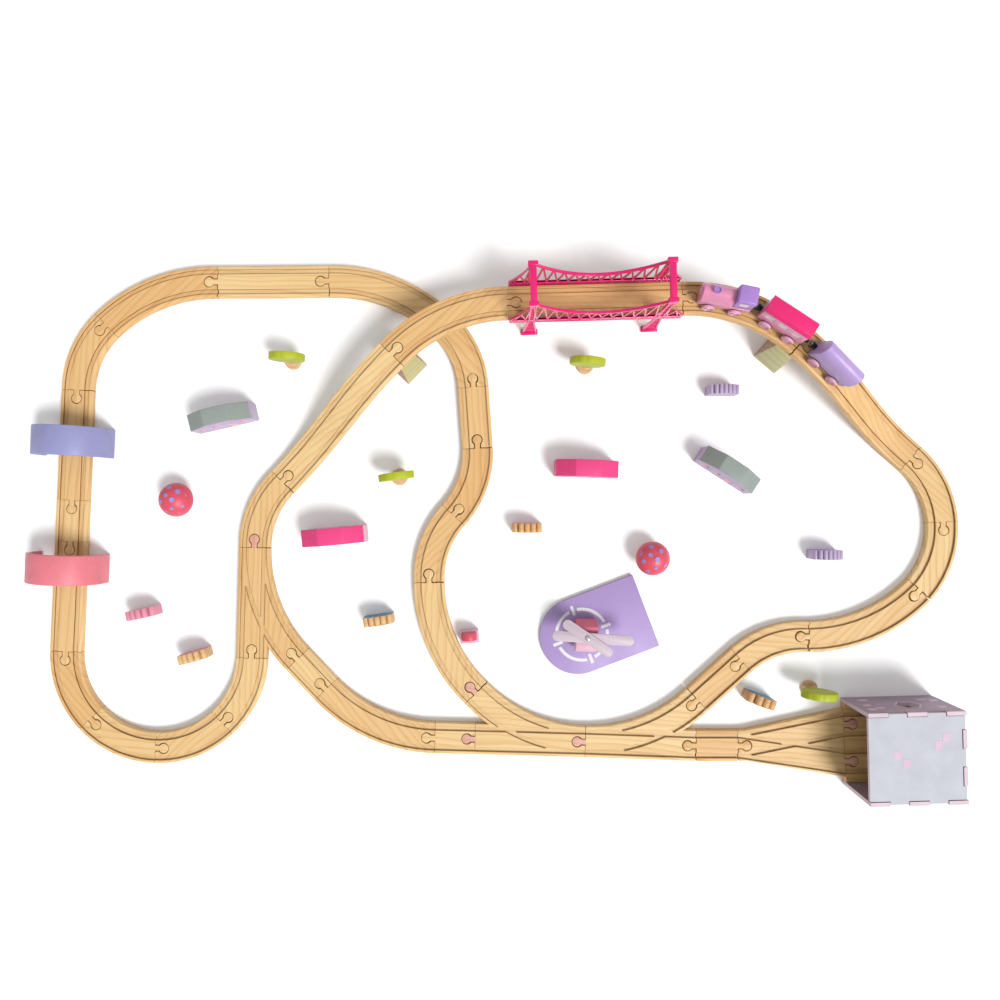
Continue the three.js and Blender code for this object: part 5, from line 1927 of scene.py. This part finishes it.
    def blade_board(self, length: float, shift: float, low: float) -> Blank:
        """A flat blade with round ends and a hole for the screw."""
        thick, wide = self.blade
        half, radius = length / 2 - wide / 2, wide / 2
        outline = arc((shift + half, 0), (radius, radius), -QUARTER, QUARTER, 20)
        outline += arc((shift - half, 0), (radius, radius), QUARTER, 3 * QUARTER, 20)
        board = Blank.outline(outline, Face.PLAN, low, low + thick).eased(0.5, 2, 60)
        return board.cut(Blank.rod(self.screw[0] + 0.4, (low - 1, low + thick + 1), 24))


# ---- Houses, trees, toadstools and figures ------------------------------------------------------


@dataclass
class Scenery:
    """The small blocks that stand about the track."""

    bench: Bench
    layout: Layout
    house: tuple = (80, 22, 36, 54, 32)
    crown: tuple = (46, 42)
    tree_depth: float = 9
    tree_height: float = 58
    tree_base: tuple = (4, 11, 5)
    cap: tuple = (22, 22)
    stem: tuple = (10, 12, 6)
    figure: tuple = (40, 12, 34)
    lobes: int = 11

    def beside(self, pose: Pose, east: float, north: float, degrees: float = 0) -> Pose:
        """A place at an offset from a pose, on the floor."""
        return Pose(pose.x + east, pose.y + north, 0, math.radians(degrees))

    def build(self) -> None:
        """Builds everything that stands beside the track."""
        by_name, places = self.layout.by_name, self.layout.places
        west, east = by_name["track_west_curve"].end, by_name["raised_curve_east"].end
        bends, deck = by_name["track_middle_bends"].start, by_name["bridge_deck"].start
        ramp, yard = by_name["ramp_west"].end, self.layout.yard_start
        greys, pinks = (HOUSE_GREY, HOUSE_LAVENDER, HOUSE_PALE), (HOUSE_PINK, HOUSE_PALE, HOUSE_LAVENDER)
        houses = {
            "house_grey_west": (self.beside(west, -74, 83, 13), greys),
            "house_grey_east": (self.beside(east, -78, -157, -33), greys),
            "house_pink_west": (self.beside(west, 71, -70, 5), pinks),
            "house_pink_east": (self.beside(bends, 141, -27, -2), pinks),
        }
        for node, (place, finishes) in houses.items():
            hand = -1 if node == "house_grey_east" else 1
            self.bench.finish(self.house_block(hand), node + "_block", place, finishes, nodes=[node])
        trees = {
            "tree_northwest": self.beside(ramp, -138, 3, -3),
            "tree_north": self.beside(deck, 103, -67, -4),
            "tree_middle": self.beside(bends, -103, -37, 8),
            "tree_south": self.beside(yard, 96, 73, -4),
        }
        for node, place in trees.items():
            self.bench.finish(self.tree(), node + "_block", place, (LEAF, TRUNK), nodes=[node])
        for node, place in (
            ("toadstool_west", self.beside(self.layout.west_common, -97, 63)),
            ("toadstool_east", self.beside(places["common"], 86, 241)),
        ):
            finishes = (TOADSTOOL_RED, TOADSTOOL_DOT, TRUNK)
            self.bench.finish(self.toadstool(), node + "_turned", place, finishes, nodes=[node])
        self.figures()

    def house_block(self, hand: int) -> Blank:
        """A flat block with a roof of three slopes, a painted end and sunk windows."""
        length, depth, wall, height, ridge = self.house
        half, side = length / 2, depth / 2
        outline = [
            (-half, 0), (half, 0), (half, wall), (ridge / 2, height), (-ridge / 2, height), (-half, wall)
        ]
        block = Blank.outline(outline, Face.SIDE, -side, side).eased(0.9, 3, 20)
        block.painted(1, lambda face: abs(face.normal.y) > 0.8)
        block.painted(1, lambda face: face.normal.x * hand > 0.8)
        for x in (-27, -9, 27):
            for y in (-side, side):
                span = tuple(sorted((y, y - math.copysign(0.8, y) * 1.0)))
                pane = Blank.block((x - 5, x + 5), (span[0] - 0.3, span[1] + 0.3), (18, 30))
                block.cut(pane.painted(2))
        for y in (-side, side):
            door = Blank.block((4, 15), (min(y, y * 0.93), max(y, y * 0.93)), (0.8, 24))
            block.cut(door.moved(Matrix.Translation((0, math.copysign(0.2, y), 0))).painted(2))
        return block

    def tree(self) -> Blank:
        """A flat lobed crown on a round trunk and foot."""
        wide, tall = self.crown
        middle = self.tree_height - tall / 2
        count = 144
        crown = []
        for i in range(count):
            angle = 2 * math.pi * i / count
            swell = 0.965 + 0.035 * abs(math.sin(self.lobes * angle / 2)) ** 0.6
            crown.append((wide / 2 * swell * math.cos(angle), middle + tall / 2 * swell * math.sin(angle)))
        block = Blank.outline(crown, Face.SIDE, -self.tree_depth / 2, self.tree_depth / 2).eased(0.7, 2, 60)
        trunk, foot, thick = self.tree_base
        turned = [
            (0, 0),
            (foot - 0.8, 0),
            (foot, 0.8),
            (foot, thick - 1.4),
            (foot - 1.4, thick),
            (trunk + 1, thick)
        ]
        turned += [(trunk, thick + 1), (trunk, middle - tall / 2 + 4), (0, middle - tall / 2 + 4)]
        return block.beside(Blank.lathe(turned, 40).painted(1))

    def toadstool(self) -> Blank:
        """A turned stem under a round spotted cap."""
        radius, base = self.cap
        neck, foot, foot_height = self.stem
        stem = [
            (0, 0),
            (foot - 0.8, 0),
            (foot, 0.8),
            (foot - 0.4, 3),
            (neck, foot_height),
            (neck - 0.8, base / 2)
        ]
        stem += [(neck, base + 1), (0, base + 1)]
        dome = arc((0, base + 1.5), (radius, radius - 1.5), 0, QUARTER, 18)
        cap = [(0, base), (radius - 1.5, base), (radius - 0.4, base + 0.5), *dome[:-1], (0, base + radius)]
        body = Blank.lathe(cap, 56).beside(Blank.lathe(stem, 40).painted(2))
        golden = math.pi * (3 - math.sqrt(5))
        for i in range(12):
            lift = math.radians(84 - 62 * math.sqrt(i / 11))
            spot = Blank.rod(3.3 - 0.5 * (i % 3), (-1.2, 0.22), 20).eased(0.15, 1, 60).painted(1)
            lean = Matrix.Rotation(i * golden, 4, "Z") @ Matrix.Rotation(QUARTER - lift, 4, "Y")
            reach = Matrix.Translation((0, 0, base + 1.5)) @ lean @ Matrix.Translation((0, 0, radius - 0.75))
            body.beside(spot.moved(reach))
        return body

    def shrub(self, wide: float, lobes: int, height: float) -> Blank:
        """A flat figure whose top and sides are a row of lobes."""
        radius = wide / lobes / 2
        outline = [(wide / 2, 0)]
        for i in range(lobes):
            x = wide / 2 - radius * (2 * i + 1)
            rise = height - radius - (height * 0.28) * abs(x / wide * 2) ** 2
            outline += arc((x, rise), (radius, radius), 0.15, math.pi - 0.15, 8)
        outline.append((-wide / 2, 0))
        half = self.figure[1] / 2
        block = Blank.outline(outline, Face.SIDE, -half, half).eased(0.6, 2, 50)
        return block

    def figures(self) -> None:
        """Small standing figures, each a sawn silhouette with a painted back edge."""
        wide, _, tall = self.figure
        start = self.layout.west_common
        rows = (
            ("shrub_tan_middle", 356.5, 26.6, 0, 5, (FIGURE_TAN, FIGURE_PINK)),
            ("shrub_tan_west", 163.5, -93.4, 8, 5, (FIGURE_TAN, FIGURE_BLUE)),
            ("shrub_tan_southwest", -76.5, -140.4, 15, 5, (FIGURE_TAN, FIGURE_PINK)),
            ("shrub_pink_west", -143.5, -84.4, 12, 5, (FIGURE_PINK, HOUSE_PALE)),
            ("shrub_lavender_north", 611.5, 205.6, 0, 7, (HOUSE_LAVENDER, TRAIN_LAVENDER)),
            ("shrub_lavender_east", 745.5, -8.4, 0, 7, (HOUSE_LAVENDER, TRAIN_LAVENDER)),
            ("shrub_blue_yard", 659.5, -197.4, -20, 4, (FIGURE_TAN, FIGURE_BLUE)),
        )
        for name, east, north, degrees, lobes, finishes in rows:
            block = self.shrub(wide * 0.95, lobes, tall)
            block.painted(1, lambda face: face.normal.y > 0.8)
            self.bench.finish(block, name, self.beside(start, east, north, degrees), finishes)
        half = 12
        block = Blank.block((-half, half), (-8, 8), (0, 20)).eased(1.2, 3).painted(1)
        block.beside(Blank.rod(10, (-5, 5), 40).eased(1.0, 2).rotated(90, "X").shifted(0, 1, 20))
        place = self.beside(start, 281.5, -115.4, 4)
        self.bench.finish(block, "signal_block", place, (TOADSTOOL_RED, HOUSE_PALE))


# ---- The studio ---------------------------------------------------------------------------------


@dataclass
class Studio:
    """A pale floor, soft light from the lower right, and a camera that looks straight down."""

    offset: Vector
    camera_place: tuple = (321.4, 62.6, 1095)
    lens: float = 29.83
    floor_size: float = 9
    ambient: float = 0.68
    key: float = 3.7
    key_angle: float = 24
    key_from: tuple = (0.55, -0.62, 1.05)

    def build(self) -> None:
        """Builds the floor, the lights and the camera."""
        self.floor()
        world = bpy.data.worlds.new("studio_air")
        world.use_nodes = True
        world.node_tree.nodes["Background"].inputs["Color"].default_value = (1, 1, 1, 1)
        world.node_tree.nodes["Background"].inputs["Strength"].default_value = self.ambient
        bpy.context.scene.world = world
        sun = bpy.data.lights.new("key_light", "SUN")
        sun.energy = self.key
        sun.angle = math.radians(self.key_angle)
        key = bpy.data.objects.new("key_light", sun)
        key.rotation_euler = Vector(self.key_from).to_track_quat("Z", "Y").to_euler()
        camera_data = bpy.data.cameras.new("camera")
        camera_data.lens = self.lens
        camera_data.clip_start, camera_data.clip_end = 0.01, 50
        camera = bpy.data.objects.new("camera", camera_data)
        camera.location = self.offset + Vector(self.camera_place) * METRE
        for made in (key, camera):
            bpy.context.scene.collection.objects.link(made)
        bpy.context.scene.camera = camera
        bpy.context.scene.view_settings.view_transform = "Standard"

    def floor(self) -> None:
        """The floor: one large pale sheet with a faint unevenness."""
        bm = bmesh.new()
        bmesh.ops.create_grid(bm, x_segments=1, y_segments=1, size=self.floor_size / 2)
        mesh = bpy.data.meshes.new("studio_floor")
        bm.to_mesh(mesh)
        bm.free()
        floor = bpy.data.objects.new("studio_floor", mesh)
        floor.location.z = -0.0002
        bpy.context.scene.collection.objects.link(floor)
        material = bpy.data.materials.new("studio_floor")
        material.use_nodes = True
        wiring = Wiring(material.node_tree)
        cloud = wiring.add("TexNoise", Vector=wiring.add("TexCoord").outputs["Object"], Scale=3.0)
        pale = wiring.mixed(cloud.outputs[0], (0.86, 0.86, 0.87, 1), (0.88, 0.88, 0.88, 1))
        shader = material.node_tree.nodes["Principled BSDF"]
        material.node_tree.links.new(pale, shader.inputs["Base Color"])
        shader.inputs["Roughness"].default_value = 0.8
        mesh.materials.append(material)
        floor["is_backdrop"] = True


def row_offset(layout: Layout) -> Vector:
    """How the set's plan lies in the row frame: the train's turning axis says it, in metres."""
    travel = next(joint for joint in frame["joints"] if joint["name"] == "train_travel")
    radius = layout.work.large_radius
    centre = layout.by_name["raised_curve_east"].start.sideways(-radius)
    x, y, _ = travel["pos_m"]
    return Vector((x - centre.x * METRE, y - centre.y * METRE, 0))


def main() -> None:
    """Builds the set piece by piece and works out the bounds of the model and of the set."""
    logging.basicConfig(level=logging.INFO, format="%(message)s")
    work = TrackWork()
    layout = Layout(work)
    offset = row_offset(layout)
    bench = Bench(offset)
    Studio(offset).build()
    Track(bench, work, layout).build()
    Risers(bench).build(layout)
    LatticeBridge(bench).build(layout)
    Arches(bench).build(layout)
    Train(bench, layout).build()
    Shed(bench, layout).build()
    Helipad(bench, layout).build()
    Scenery(bench, layout).build()
    LOG.info("%d pieces", len(bench.made))
    boxes = {"cad": cad_box, "visual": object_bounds()}
    {name: [list(corner) for corner in box] for name, box in boxes.items()}


if __name__ == "__main__":
    main()
